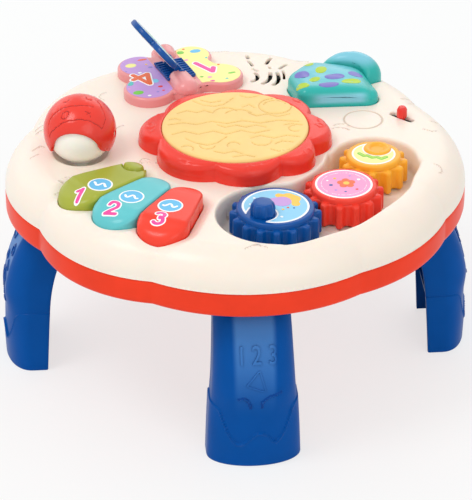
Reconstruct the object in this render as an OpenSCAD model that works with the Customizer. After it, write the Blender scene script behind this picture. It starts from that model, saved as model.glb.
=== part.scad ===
// Musical activity table for a small child: a lobed table top that carries three
// piano keys, a drum, three meshing gears, a butterfly with a flip page, a ball with
// a turning visor, two press buttons and a slide switch, on four channel legs.
// Origin on the floor under the middle of the table, +Z up, legs on the X and Y axes.

/* [Table top] */
// Largest radius of the table top, at its front lobe
table_r = 181.5; // [178:0.5:190]
// Height of the base's underside above the floor
base_z = 130; // [120:1:150]
// Height of the red band round the base
band_h = 20.5; // [19:0.5:26]
// Height of the cover's deck above the band
cover_h = 28; // [27:0.5:32]
// Width of the cover's rounded edge
edge_w = 28; // [22:0.5:30]
// Wall thickness of the cover
cover_wall = 2.5; // [2:0.1:3]
// Wall and floor thickness of the base
base_wall = 3; // [2.5:0.1:3.5]
// Radius of the circle that the case screws stand on
post_ring_r = 160; // [158:0.5:161]

/* [Legs] */
// Height of the rim of the leg's cuff above the floor
cuff_z = 51; // [40:1:60]
// Wall thickness of a leg
leg_wall = 3; // [2.4:0.1:3.6]
// Height of the tongue that locks a leg into the base
tongue_h = 13; // [10:0.5:15]
// Width of the tongue
tongue_w = 36; // [30:0.5:40]

/* [Drum] */
// Radius of the drum pad
drum_r = 57.3; // [56:0.1:57.5]
// Height of the scalloped rim above the deck
rim_h = 15; // [13:0.5:17]
// How far the pad stands above the rim
pad_proud = 2; // [1:0.5:3]
// Travel of the drum pad
drum_travel = 2; // [1:0.5:2.5]

/* [Keys] */
// Angle that one key takes up in the fan
key_angle = 16.3; // [15.5:0.1:16.5]
// Radius from the table's centre to the centre of a key's inner end
key_in_r = 100; // [98:0.5:102]
// Radius from the table's centre to the centre of a key's front end
key_out_r = 140; // [137:0.5:141]
// Height of the keys above the deck
key_rise = 8; // [7:0.5:9]
// Travel of a key
key_travel = 2.5; // [1.5:0.5:3]
// Radius of the round label on a key
key_label_r = 8.5; // [7:0.5:9]

/* [Gears] */
// Gear module, pitch diameter over tooth count
gear_m = 4.15; // [4.1:0.01:4.2]
// Height of a gear's teeth
gear_h = 18.5; // [16:0.5:18.5]
// Height of the raised disc on top of a gear
gear_disc_h = 4; // [3:0.5:5]
// How far a tooth stands above the pitch circle
addendum = 1.7; // [1.4:0.1:1.8]
// Depth of a tooth from tip to root
tooth_depth = 5; // [4.4:0.1:5.2]
// Depth of the gear recess below the deck
recess_depth = 20; // [19.5:0.5:21]
// Radius of the hub spigot that a gear turns on
spigot_r = 5; // [4:0.1:6]
// Radius of the crank knob at its widest
knob_r = 9.6; // [8.5:0.1:10]
// Height of the crank knob
knob_h = 12.5; // [10:0.5:15]

/* [Butterfly] */
// Thickness of the butterfly plate
butterfly_t = 8; // [6:0.5:9]
// Thickness of the flip page
page_t = 5; // [4:0.1:5.5]
// Lean of the flip page above the left wing at rest
page_lean = 52; // [45:1:60]
// Radius of the flip page's hinge pin
page_pin_r = 1.2; // [1:0.1:1.4]

/* [Ball and visor] */
// Outer radius of the visor
visor_r = 28.3; // [27.5:0.1:28.5]
// Wall thickness of the visor
visor_wall = 2.4; // [2:0.1:2.6]
// Height of the ball's centre above the deck
ball_rise = 20; // [19.5:0.5:22]
// Radius of the visor's hinge pins
visor_pin_r = 2; // [1.5:0.1:2.5]

/* [Buttons and switch] */
// Height of the hill button above the deck
hill_rise = 14; // [12:0.5:16]
// Height of the round dome button above the deck
dome_rise = 22.6; // [20:0.5:24]
// Travel of the hill and dome buttons
button_travel = 3; // [2:0.5:3]
// Length of the switch slot
slot_len = 22; // [20:0.5:24]
// Travel of the slide switch to each side
switch_travel = 5; // [4:0.5:6]

/* [Inside] */
// Radius of the speaker
speaker_r = 20; // [18:0.5:21]
// Thickness of a circuit board
board_t = 1.6; // [1.2:0.1:2]
// Height of a rubber dome
rubber_h = 6; // [5:0.5:7]
// Diameter of a battery cell
cell_d = 14.3; // [14:0.1:14.5]
// Length of a battery cell
cell_len = 50.2; // [49:0.1:50.5]
// Depth of the battery box
box_h = 17.3; // [17:0.1:18]

/* [Clearances] */
// Gap round a moving key or button
slide_gap = 0.4; // [0.3:0.05:0.6]
// Gap between a piece at rest and its stop
stop_gap = 0.3; // [0.2:0.05:0.4]
// Radial gap between a pin and the bore that turns on it
pin_gap = 0.06; // [0.04:0.01:0.1]
// Gap between fixed pieces that fit together
seat_gap = 0.1; // [0.05:0.05:0.2]
// Gap under the deck for the foam that the speaker and the switch body press on
foam_gap = 0.4; // [0.3:0.1:0.8]

/* [Hidden] */
$fn = 64;
HULL_FN = 32;       // facets of the circles that a hull joins
CUT = 1;            // how far a cutting shape runs past what it cuts
FAR = 200;          // reaches past the whole table top
TURN = 5;           // angle between the points of the table's outline
WELD = 0.03;        // depth that flat shapes run into the circles they join

// Heights
band_top = base_z + band_h;
deck_z = band_top + cover_h;
deck_under = deck_z - cover_wall;
floor_top = base_z + base_wall;
board_top = band_top + board_t;
plunger_z = board_top + rubber_h;       // underside of every button's plunger
well_z = plunger_z + 6.5;               // underside of the wells that guide buttons
flange_h = 2;
flange_w = 1.6;                         // how far a flange stands out under its well
flange_top = well_z - stop_gap;

// Lobes of the table's outline: direction, half angle, and how far the middle and the
// ends of the lobe lie inside table_r
table_lobes = [
    [44, 22, 1.5, 9.5], [89, 23, 0.5, 9.5], [135, 23, 1.5, 9.5], [181.5, 23.5, 1, 10],
    [226, 21, 2, 9.7], [273.5, 26.5, 0, 6.5], [314, 14, 3, 4.7], [355, 27, 1, 7.5]
];
// Lobes of the drum rim: direction, half angle, peak radius, radius at the notches
rim_lobes = [
    [358, 21, 76, 65], [40.5, 21.5, 75, 64.5], [79.5, 17.5, 70, 62.5], [123.5, 26.5, 70.5, 62.5],
    [171, 21, 76, 64.5], [221, 29, 71, 63], [275.5, 25.5, 69.5, 62], [319, 18, 71.5, 64]
];

// Screw posts between the base and the cover
post_angles = [24, 66, 114, 156, 191, 259, 309, 339];
post_r = 4.5;
screw_r = 1.4;
screw_head_r = 2.8;
screw_head_h = 2;
pilot_r = screw_r + seat_gap;
post_sink = 6;      // depth that a case screw's head lies in its post

// Drum
rim_top = deck_z + rim_h;
pad_top = rim_top + pad_proud;
pad_disc_h = 4;
rim_bore_r = drum_r + stop_gap;
rim_cavity_r = rim_bore_r + 2;
rim_lip_h = 7.5;
pad_flange_r = rim_cavity_r - slide_gap;
pad_flange_top = rim_top - rim_lip_h - stop_gap;
drum_plunger_r = 5;
rim_screw_ring_r = 66.5;
rim_screw_angles = [40.5, 123.5, 221, 319];
drum_hole_r = 8;

// Keys, numbered from the left: direction of each
key_dirs = [210, 210 + key_angle, 210 + 2 * key_angle];
key_in_w = key_in_r * sin(key_angle / 2) - slide_gap / 2;
key_out_w = key_out_r * sin(key_angle / 2) - slide_gap / 2;
key_top = deck_z + key_rise;
key_wall = 2;
key_plunger_r = 3.5;
key_dome_r = 125;               // where the plungers and labels stand
key_bump_r = 8.7;
key_bump_at = 92.2;
key_colors = ["#9aa53d", "#45bdbb", "#f04a35"];
well_wall = 1.8;
label_t = 0.3;

// Gears: the red one is in the middle of the train
teeth_blue = 16;
teeth_red = 14;
teeth_yellow = 12;
blue_at = [21.5, -107];
blue_red_dir = 28;
red_yellow_dir = 58.2;
red_at = blue_at + gear_m * (teeth_blue + teeth_red) / 2 * [cos(blue_red_dir), sin(blue_red_dir)];
yellow_at = red_at
    + gear_m * (teeth_red + teeth_yellow) / 2 * [cos(red_yellow_dir), sin(red_yellow_dir)];
function tip_radius(teeth) = gear_m * teeth / 2 + addendum;
function pair_turn(turn, dir, teeth, next) =
    dir + 180 - (turn - dir) * teeth / next + 180 / next;
red_turn = 0;
blue_turn = pair_turn(red_turn, blue_red_dir + 180, teeth_red, teeth_blue);
yellow_turn = pair_turn(red_turn, red_yellow_dir, teeth_red, teeth_yellow);
recess_floor = deck_z - recess_depth;
tooth_z = deck_z - gear_h;
gear_top = deck_z + gear_disc_h;
gear_room = 5.5;                // room between the teeth and the recess wall
spigot_len = 0.3;               // how far the spigot shows under the recess floor
washer_h = 1;
washer_r = spigot_r + 3;
gear_screw_r = 1.5;
knob_offset = 15.5;
knob_dir = 226;
knob_at = blue_at + knob_offset * [cos(knob_dir), sin(knob_dir)];
knob_peg_r = 2.5;

// Butterfly: the body's axis runs outwards over the deck
butterfly_mid = [-39.5, 113];
body_dir = 108;
wing_left = [[-62, 86, 20.5], [-67, 124, 18.5]];
wing_right = [[-3, 106, 18.5], [-24, 141, 16.5]];
plate_top = deck_z + butterfly_t;
wing_rim = 2.2;
hinge_len = 32;
hinge_h = 5;                    // height of the hinge axis above the plate
hinge_z = plate_top + hinge_h;
knuckle_r = 2.8;
ear_t = 3;
comb_w = 24;
comb_h = 1.6;
page_from_axis = [[-8, 19, 16], [12, 29, 19.5]];    // page outline: along, out, radius

// Ball and visor
ball_at = [-121, -3.7];
ball_z = deck_z + ball_rise;
ball_gap = 0.4;
ball_r = visor_r - visor_wall - ball_gap;
dish_r = visor_r + 0.7;
stem_r = 6;
stem_seat_h = 2;
visor_axis_dir = -17.1;
visor_edge_dir = [0.263, 0.857, 0.442];
visor_edge_at = 18.4;           // how far the visor runs past its centre, against edge_dir
visor_low = 18.5;               // how far it runs below its centre

// Hill and dome: corner circles of the hill's outline
hill_corners = [[63, 65, 8.5], [110, 66.5, 10.5], [98, 86, 17], [74, 95, 15], [61, 87, 11]];
hill_mid = [85, 80];
hill_crown = 5;
dome_at = [101, 106];
dome_size = [27, 16.7];
dome_skirt = 0.6;
button_wall = 2;
button_plunger_r = 4;
dome_plunger_at = [106, 113];

// Slide switch
slot_mid = [135.6, 33.8];
slot_dir = -44.6;
slot_w = 5;
switch_neck = 3.6;
switch_knob_r = 4.3;
switch_knob_h = 9;

// Speaker
speaker_at = [30, 126];
speaker_h = 11;

// Battery box
cell_gap = 0.4;
box_wall = 1.6;
box_len = cell_len + 6;
box_w = 3 * cell_d + 4 * cell_gap;
door_t = 2;
door_rim = 5;
door_gap = 0.3;

// Legs: rows of height, inner radius, outer radius and half width
leg_dirs = [270, 0, 90, 180];
leg_rows_low = [[0, 152.2, 185.6, 36.5], [0.5, 150.8, 186.5, 35.2], [1, 149.2, 186.2, 33.6]];
leg_rows_high = [
    [0, 149.1, 185.4, 32.6], [0.16, 147.8, 184, 31.8], [0.34, 145.2, 181.4, 31.1],
    [0.51, 141.5, 177.4, 30.5], [0.67, 138, 172.2, 30], [0.8, 135, 166.4, 29.6],
    [0.91, 133, 159.5, 29.2], [1, 132, 152, 29]
];
cuff_step = 1.2;
tongue_r = 142;
tongue_t = 8;

// ---- Shared shapes ----

// Distance from the centre to the middle of a lobe's arc, for an arc that peaks at
// radius peak and meets its neighbours at radius notch, half an angle away
function lobe_offset(peak, notch, half) =
    (peak * peak - notch * notch) / (2 * (peak - notch * cos(half)));

function polar(r, dir) = [r * cos(dir), r * sin(dir)];

// Places children at each direction round a circle
module around(r, dirs) {
    for (dir = dirs) rotate([0, 0, dir]) translate([r, 0, 0]) children();
}

// Round-cornered block of the given size, standing on the XY plane
module block(size, corner) {
    linear_extrude(size[2]) union() {
        square([size[0] - 2 * corner, size[1]], center = true);
        square([size[0], size[1] - 2 * corner], center = true);
        for (x = [-1, 1], y = [-1, 1])
            translate([x * (size[0] / 2 - corner), y * (size[1] / 2 - corner)]) circle(corner);
    }
}

// Tube standing on the XY plane
module tube(outer, inner, h) {
    difference() {
        cylinder(h = h, r = outer);
        translate([0, 0, -CUT]) cylinder(h = h + 2 * CUT, r = inner);
    }
}

// Flat outline of two circles on the X axis and the sides that join them, which lie a
// weld's width inside the common tangents
module taper_slot(x1, r1, x2, r2) {
    slope = acos((r1 - r2) / (x2 - x1));
    side1 = polar(r1 - WELD, slope);
    side2 = polar(r2 - WELD, slope);
    translate([x1, 0]) circle(r1);
    translate([x2, 0]) circle(r2);
    polygon([
        [x1 + side1[0], side1[1]], [x2 + side2[0], side2[1]],
        [x2 + side2[0], -side2[1]], [x1 + side1[0], -side1[1]]
    ]);
}

// Self-tapping screw with its head down and its shank up
module screw(shank_r, shank_h, head_r, head_h) {
    cylinder(h = head_h, r = head_r);
    cylinder(h = head_h + shank_h, r = shank_r);
}

// Hollow silicone dome that a plunger presses on, standing on a board
module rubber_dome(h) {
    rotate_extrude() difference() {
        polygon([[0, 0], [6, 0], [6, 1.2], [4.6, 1.6], [3.4, h], [0, h]]);
        polygon([[0, -CUT], [4.2, -CUT], [4.2, 0.8], [2.2, h - 1.6], [0, h - 1.6]]);
    }
}

// ---- Table top ----

// Radius of the table's outline in one direction: the outermost of the lobes' arcs
function lobe_reach(lobe, dir) =
    let (peak = table_r - lobe[2],
         away = lobe_offset(peak, table_r - lobe[3], lobe[1]),
         side = away * sin(dir - lobe[0]))
    cos(dir - lobe[0]) < 0 ? 0 : away * cos(dir - lobe[0]) + sqrt((peak - away) ^ 2 - side ^ 2);
function table_radius(dir) = max([for (lobe = table_lobes) lobe_reach(lobe, dir)]);

module table_outline(inset) {
    polygon([for (dir = [0:TURN:360 - TURN]) polar(table_radius(dir) - inset, dir)]);
}

// Closed skin over stacked rings of points, each ring anticlockwise and of equal length
module ring_stack(rings) {
    n = len(rings[0]);
    last = len(rings) - 1;
    polyhedron(
        points = [for (ring = rings) each ring],
        faces = concat([[for (i = [0:n - 1]) i]], [[for (i = [n - 1:-1:0]) last * n + i]],
            [for (k = [0:last - 1], i = [0:n - 1])
                [k * n + i, (k + 1) * n + i, k * n + (i + 1) % n]],
            [for (k = [0:last - 1], i = [0:n - 1])
                [(k + 1) * n + i, (k + 1) * n + (i + 1) % n, k * n + (i + 1) % n]])
    );
}

// Solid of the cover's outside (inset 0) or of its hollow (inset = wall)
module cover_form(inset, steps) {
    rise = cover_h - inset;
    first = inset == 0 ? 0 : -1;
    ring_stack([for (k = [first:steps])
        [for (dir = [0:TURN:360 - TURN])
            let (a = 90 * max(k, 0) / steps,
                 p = polar(table_radius(dir) - inset - edge_w * (1 - cos(a)), dir))
            [p[0], p[1], band_top + (k < 0 ? -CUT : rise * sin(a))]]]);
}

module key_outline(i, grow) {
    rotate(key_dirs[i]) taper_slot(key_in_r, key_in_w + grow, key_out_r, key_out_w + grow);
    if (i == 0) translate(polar(key_bump_at, key_dirs[0] - 1)) circle(key_bump_r + grow);
}

module hill_outline(grow) {
    hull() for (c = hill_corners) translate([c[0], c[1]]) circle(c[2] + grow, $fn = HULL_FN);
}

module dome_outline(grow) {
    translate(dome_at) polygon([for (a = [0:7.5:352.5])
        [(dome_size[0] + grow) * cos(a), (dome_size[1] + grow) * sin(a)]]);
}

module recess_outline(grow) {
    start = atan2(blue_at[1], blue_at[0]);
    end = atan2(yellow_at[1], yellow_at[0]);
    middle_r = norm(red_at);
    band = tip_radius(teeth_red) + gear_room;
    translate(blue_at + [-1.5, -1.5]) circle(tip_radius(teeth_blue) + gear_room + 1.5 + grow);
    translate(yellow_at + [1, 0.5]) circle(tip_radius(teeth_yellow) + gear_room + 1 + grow);
    intersection() {
        difference() {
            circle(middle_r + band + grow);
            circle(middle_r - tip_radius(teeth_red) - 3 - grow);
        }
        polygon([[0, 0], polar(FAR, start), polar(FAR, (start + end) / 2), polar(FAR, end)]);
    }
}

module switch_frame() {
    translate([slot_mid[0], slot_mid[1], 0]) rotate([0, 0, slot_dir]) children();
}

module butterfly_frame() {
    translate([butterfly_mid[0], butterfly_mid[1], 0]) rotate([0, 0, body_dir]) children();
}

speaker_slots = [
    [23, 148, 90, 5], [23.5, 136, 100, 5], [27.5, 125, 105, 6], [39, 142, 95, 5], [39, 130, 90, 5],
    [48, 130, 85, 5], [28, 113, 140, 6], [38, 113, 165, 6], [45, 120, 30, 5]
];
slot_hole_r = 1.3;
butterfly_screws_at = [wing_left[0], wing_left[1], wing_right[0], wing_right[1]];

// What the cover holds under its deck: wells, recess, dish, speaker ring and switch frame
module cover_inserts() {
    translate([0, 0, well_z]) linear_extrude(cover_h) union() {
        for (i = [0:2]) key_outline(i, slide_gap + well_wall);
        hill_outline(slide_gap + well_wall);
        dome_outline(slide_gap + well_wall);
    }
    translate([0, 0, recess_floor - cover_wall]) linear_extrude(cover_h)
        recess_outline(cover_wall);
    translate([ball_at[0], ball_at[1], ball_z]) sphere(dish_r + cover_wall);
    translate([ball_at[0], ball_at[1], ball_z - dish_r - 6]) cylinder(h = 10, r = post_r);
    translate([speaker_at[0], speaker_at[1], deck_under - 5])
        tube(speaker_r + seat_gap + 1.6, speaker_r + seat_gap, 6);
    translate([0, 0, deck_under - 6]) switch_frame() difference() {
        block([slot_len + 8, 16, 7], 1);
        translate([0, 0, -CUT]) block([slot_len + 4 + 2 * seat_gap, 12 + 2 * seat_gap, 7 + 2 * CUT], 0.5);
    }
    translate([0, 0, band_top]) around(post_ring_r, post_angles) cylinder(h = cover_h, r = post_r);
}

module cover_holes() {
    translate([0, 0, band_top]) linear_extrude(2 * cover_h) union() {
        for (i = [0:2]) key_outline(i, slide_gap);
        hill_outline(slide_gap);
        dome_outline(slide_gap);
    }
    translate([0, 0, recess_floor]) linear_extrude(2 * cover_h) recess_outline(0);
    for (at = [blue_at, red_at, yellow_at])
        translate([at[0], at[1], band_top]) cylinder(h = cover_h, r = spigot_r + pin_gap);
    translate([ball_at[0], ball_at[1], ball_z]) sphere(dish_r);
    translate([ball_at[0], ball_at[1], band_top]) cylinder(h = cover_h, r = screw_r + seat_gap);
    translate([0, 0, band_top]) {
        cylinder(h = 2 * cover_h, r = drum_hole_r);
        around(rim_screw_ring_r, rim_screw_angles) cylinder(h = 2 * cover_h, r = pilot_r);
        for (at = butterfly_screws_at)
            translate([at[0], at[1], 0]) cylinder(h = 2 * cover_h, r = pilot_r);
        around(post_ring_r, post_angles) cylinder(h = cover_h - 8, r = pilot_r);
    }
    translate([0, 0, deck_under - CUT]) {
        switch_frame() linear_extrude(cover_wall + 2 * CUT)
            taper_slot(-slot_len / 2 + slot_w / 2, slot_w / 2, slot_len / 2 - slot_w / 2, slot_w / 2);
        for (s = speaker_slots) translate([s[0], s[1], 0]) rotate([0, 0, s[2]])
            linear_extrude(cover_wall + 2 * CUT) taper_slot(-s[3], slot_hole_r, s[3], slot_hole_r);
    }
}

module top_cover() color("#f7ecdc") difference() {
    cover_form(0, 6);
    difference() {
        cover_form(cover_wall, 4);
        cover_inserts();
    }
    cover_holes();
}

// Tongue on top of a leg, or the slot in the base that takes it
module tongue(grow, h) {
    translate([tongue_r, 0, 0]) block([tongue_t + 2 * grow, tongue_w + 2 * grow, h], 1);
}

main_posts = [for (x = [-27, 27], y = [-27, 24]) [x, y]];
key_posts = [for (r = [key_dome_r - 22, key_dome_r + 15], a = [-24, 24])
    polar(r, key_dirs[1] + a * key_dome_r / r)];
button_posts = [[60, 62], [112, 66], [90, 122], [60, 98]];
board_post_r = 3;
board_screw_r = 1.1;
battery_at = [0, 65];
box_out = [box_len + 2 * box_wall, box_w + 2 * box_wall];
door_size = [box_out[0] + 2 * door_rim, box_out[1] + 2 * door_rim];
door_boss = [0, -door_size[1] / 2 + door_rim / 2 + 0.5];

module base_shell() color("#f0442a") difference() {
    union() {
        difference() {
            translate([0, 0, base_z]) linear_extrude(band_h) table_outline(0);
            translate([0, 0, floor_top]) linear_extrude(band_h) table_outline(base_wall);
        }
        translate([0, 0, base_z]) {
            around(post_ring_r, post_angles) cylinder(h = band_h, r = post_r);
            for (at = concat(main_posts, key_posts, button_posts))
                translate([at[0], at[1], 0]) cylinder(h = band_h, r = board_post_r);
            for (dir = leg_dirs) rotate([0, 0, dir]) tongue(2, base_wall + tongue_h);
        }
    }
    translate([0, 0, base_z - CUT]) {
        around(post_ring_r, post_angles) {
            cylinder(h = band_h + 2 * CUT, r = pilot_r);
            cylinder(h = post_sink + CUT, r = screw_head_r + seat_gap);
        }
        for (dir = leg_dirs) rotate([0, 0, dir]) tongue(seat_gap, tongue_h + base_wall + 2 * CUT);
        translate([battery_at[0], battery_at[1], 0]) {
            block([door_size[0], door_size[1], door_t + door_gap + CUT], 3);
            block([box_out[0] - 2, box_out[1] - 2, base_wall + 2 * CUT], 1);
        }
    }
    for (at = concat(main_posts, key_posts, button_posts))
        translate([at[0], at[1], band_top - 8]) cylinder(h = 8 + CUT, r = board_screw_r + seat_gap);
    battery_frame() translate([door_boss[0], door_boss[1], base_z])
        cylinder(h = base_wall + CUT, r = board_screw_r + seat_gap);
}

// Ring of points round a leg's D-shaped section, open sides included
leg_arc = 10;       // steps round the outer half of the section
function leg_ring(row, inset, inner) =
    let (out_r = row[2] - inset, half = row[3] - inset, bow = min(19, (out_r - row[1]) * 0.75))
    concat([[row[1] - inner, -half, row[0]]],
        [for (k = [0:leg_arc]) let (a = -90 + 180 * k / leg_arc)
            [out_r - bow + bow * cos(a), half * sin(a), row[0]]],
        [[row[1] - inner, half, row[0]]]);

module leg() {
    low = [for (row = leg_rows_low) [row[0] * cuff_z, row[1], row[2], row[3]]];
    high = [for (row = leg_rows_high)
        [cuff_z + cuff_step + row[0] * (base_z - cuff_z - cuff_step), row[1], row[2], row[3]]];
    rows = concat(low, high);
    hollow_top = [for (k = [0:len(high) - 2]) high[k]];
    roof = high[len(high) - 1];
    hollow = concat([[-CUT, low[0][1], low[0][2], low[0][3]]], hollow_top,
        [[base_z - leg_wall, roof[1] + 0.4, roof[2] + 2, roof[3]]]);
    color("#1f5fae") {
        difference() {
            ring_stack([for (row = rows) leg_ring(row, 0, 0)]);
            ring_stack([for (row = hollow) leg_ring(row, leg_wall, CUT * 4)]);
        }
        translate([0, 0, base_z]) tongue(0, tongue_h + base_wall - seat_gap);
    }
}
module leg_front() rotate([0, 0, leg_dirs[0]]) leg();
module leg_right() rotate([0, 0, leg_dirs[1]]) leg();
module leg_back() rotate([0, 0, leg_dirs[2]]) leg();
module leg_left() rotate([0, 0, leg_dirs[3]]) leg();

// ---- Drum ----

module rim_outline() {
    circle(rim_cavity_r + 1.5);
    for (lobe = rim_lobes) {
        away = lobe_offset(lobe[2], lobe[3], lobe[1]);
        rotate(lobe[0]) translate([away, 0]) circle(lobe[2] - away);
    }
}

module drum_rim() color("#ee5347") difference() {
    translate([0, 0, deck_z]) linear_extrude(rim_h) rim_outline();
    translate([0, 0, deck_z - CUT]) {
        cylinder(h = rim_h - rim_lip_h + CUT, r = rim_cavity_r);
        cylinder(h = rim_h + 2 * CUT, r = rim_bore_r);
        around(rim_screw_ring_r, rim_screw_angles) cylinder(h = 9, r = pilot_r);
    }
    // chamfer round the scalloped edge's top, cut as a cone
    translate([0, 0, rim_top - 3]) difference() {
        cylinder(h = 4, r = FAR / 2);
        translate([0, 0, -0.01]) cylinder(h = 4.02, r1 = 76.5, r2 = 72);
    }
}

module drum_pad() color("#f5dd9a") {
    difference() {
        translate([0, 0, pad_flange_top]) cylinder(h = pad_top - pad_flange_top, r = drum_r);
        translate([0, 0, pad_flange_top - CUT])
            cylinder(h = pad_top - pad_disc_h - pad_flange_top + CUT, r = drum_r - 3);
    }
    translate([0, 0, pad_flange_top - flange_h]) tube(pad_flange_r, drum_r - 3, flange_h);
    translate([0, 0, plunger_z]) cylinder(h = pad_top - pad_disc_h / 2 - plunger_z, r = drum_plunger_r);
}

module drum_rubber_dome() color("#d9d9d4") translate([0, 0, board_top]) rubber_dome(rubber_h);

// ---- Keys ----

// Revolved cross-section that gives the keys their level top and rounded front
module key_envelope(drop, bottom) {
    top = key_top - drop;
    rotate_extrude() polygon([
        [key_in_r - 25, bottom], [key_in_r - 25, top - 2.5], [key_in_r - 14, top - 2.5],
        [key_in_r - 8, top - 0.6], [key_in_r - 2, top], [key_out_r - 1, top],
        [key_out_r + 7, top - 1.5], [key_out_r + 13, top - 4.5], [key_out_r + 17.5, top - 9],
        [key_out_r + 20, top - 13], [key_out_r + 25, top - 14], [key_out_r + 25, bottom]
    ]);
}

module key_wedge(i) {
    half = key_angle / 2;
    rotate(key_dirs[i]) translate([slide_gap / 2 / sin(half), 0])
        polygon([[0, 0], polar(FAR, -half), polar(FAR, half)]);
}

module key(i) color(key_colors[i]) {
    intersection() {
        translate([0, 0, flange_top - flange_h]) linear_extrude(cover_h * 2) key_outline(i, 0);
        difference() {
            key_envelope(0, flange_top - flange_h);
            intersection() {
                key_envelope(key_wall, flange_top - flange_h - CUT);
                translate([0, 0, flange_top - flange_h - CUT])
                    linear_extrude(cover_h * 2) key_outline(i, -key_wall);
            }
        }
    }
    translate([0, 0, flange_top - flange_h]) linear_extrude(flange_h) difference() {
        intersection() {
            key_outline(i, flange_w);
            key_wedge(i);
        }
        key_outline(i, -key_wall);
    }
    rotate([0, 0, key_dirs[i]]) translate([key_dome_r, 0, plunger_z])
        cylinder(h = key_top - key_wall / 2 - plunger_z, r = key_plunger_r);
}
module key_1() key(0);
module key_2() key(1);
module key_3() key(2);

module key_label(i) color("#63bfe8") rotate([0, 0, key_dirs[i]])
    translate([key_dome_r, 0, key_top]) cylinder(h = label_t, r = key_label_r);
module key_1_label() key_label(0);
module key_2_label() key_label(1);
module key_3_label() key_label(2);

module key_rubber_dome(i) color("#d9d9d4") rotate([0, 0, key_dirs[i]])
    translate([key_dome_r, 0, board_top]) rubber_dome(rubber_h);
module key_1_rubber_dome() key_rubber_dome(0);
module key_2_rubber_dome() key_rubber_dome(1);
module key_3_rubber_dome() key_rubber_dome(2);

// ---- Gears ----

// Flat gear of thick teeth with rounded-off tips: half widths of a tooth at its
// root, flank, shoulder and tip
tooth_rows = [[1, 3.3], [0.4, 2.75], [0.12, 2], [0, 1.1]];
function tooth_side(teeth, side) = [for (row = tooth_rows)
    let (r = tip_radius(teeth) - row[0] * tooth_depth) [r, side * asin(row[1] / r)]];
function reversed(list) = [for (i = [len(list) - 1:-1:0]) list[i]];
module gear_outline(teeth) {
    polygon([for (i = [0:teeth - 1])
        each [for (p = concat(tooth_side(teeth, -1), reversed(tooth_side(teeth, 1))))
            polar(p[0], i * 360 / teeth + p[1])]]);
}

module gear(teeth, at, turn, disc_r) {
    spigot_z = recess_floor - cover_wall - spigot_len;
    translate([at[0], at[1], 0]) difference() {
        union() {
            translate([0, 0, tooth_z]) rotate([0, 0, turn]) linear_extrude(gear_h) gear_outline(teeth);
            translate([0, 0, deck_z - CUT]) cylinder(h = gear_disc_h + CUT, r = disc_r);
            translate([0, 0, recess_floor + stop_gap])
                cylinder(h = tooth_z - recess_floor, r = spigot_r + 3);
            translate([0, 0, spigot_z]) cylinder(h = tooth_z - spigot_z + CUT, r = spigot_r);
        }
        translate([0, 0, spigot_z - CUT]) cylinder(h = 10, r = gear_screw_r + seat_gap);
    }
}

module gear_blue() color("#1d4f9c") difference() {
    gear(teeth_blue, blue_at, blue_turn, tip_radius(teeth_blue) - tooth_depth);
    translate([knob_at[0], knob_at[1], gear_top - 6]) cylinder(h = 6 + CUT, r = knob_peg_r + seat_gap);
}
module gear_red() color("#e8442f") gear(teeth_red, red_at, red_turn, tip_radius(teeth_red) - tooth_depth);
module gear_yellow() color("#f2b134")
    gear(teeth_yellow, yellow_at, yellow_turn, tip_radius(teeth_yellow) - tooth_depth);

module crank_knob() color("#1d4f9c") translate([knob_at[0], knob_at[1], gear_top]) {
    translate([0, 0, -5]) cylinder(h = 6, r = knob_peg_r);
    difference() {
        union() {
            cylinder(h = knob_h * 0.55, r1 = knob_r * 0.8, r2 = knob_r);
            translate([0, 0, knob_h * 0.55]) cylinder(h = knob_h * 0.45, r1 = knob_r, r2 = knob_r * 0.72);
        }
        for (k = [0:7]) rotate([0, 0, 45 * k]) translate([knob_r + 0.8, 0, -CUT])
            cylinder(h = knob_h + 2 * CUT, r = 2);
    }
}

module gear_label_at(at) translate([at[0], at[1], gear_top]) linear_extrude(label_t) children();
module gear_blue_label() color("#8fcbe8") difference() {
    gear_label_at(blue_at) circle(25.5);
    translate([knob_at[0], knob_at[1], gear_top - CUT]) cylinder(h = 3 * CUT, r = knob_r + 1);
}
module gear_red_label() color("#f27fb0") gear_label_at(red_at) circle(22);
module gear_yellow_label() color("#f8e08e") gear_label_at(yellow_at) difference() {
    circle(17);
    translate([3.8, 7.5]) circle(10.5);
}

module gear_screw(at) color("#b9bcc0")
    translate([at[0], at[1], recess_floor - cover_wall - spigot_len - washer_h]) {
        tube(washer_r, gear_screw_r + seat_gap, washer_h);
        translate([0, 0, -screw_head_h]) screw(gear_screw_r, 8, screw_head_r, screw_head_h);
    }
module gear_blue_screw() gear_screw(blue_at);
module gear_red_screw() gear_screw(red_at);
module gear_yellow_screw() gear_screw(yellow_at);

// ---- Butterfly ----

butterfly_body = [
    [-30, 79], [-48, 78], [-70, 72], [-78, 100], [-72, 128], [-58, 141], [-46, 148],
    [-34, 152], [-14, 150], [-8, 130], [8, 112], [4, 92], [-18, 88]
];
near_bulb = [-33, 85, 10.5];
far_bulb = [-47.5, 149, 9];

module wing_lobes(wing, grow) {
    for (c = wing) translate([c[0], c[1]]) circle(c[2] + grow);
}

module butterfly_plate() color("#f0a8a6") difference() {
    union() {
        translate([0, 0, deck_z]) linear_extrude(butterfly_t) union() {
            wing_lobes(wing_left, 0);
            wing_lobes(wing_right, 0);
            polygon(butterfly_body);
        }
        for (bulb = [near_bulb, far_bulb]) intersection() {
            translate([bulb[0], bulb[1], plate_top - bulb[2] * 0.45]) sphere(bulb[2]);
            translate([bulb[0], bulb[1], deck_z]) cylinder(h = 3 * butterfly_t, r = bulb[2] + CUT);
        }
    }
    for (at = butterfly_screws_at)
        translate([at[0], at[1], deck_z - CUT]) cylinder(h = butterfly_t - 2 + CUT, r = pilot_r);
}

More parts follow.
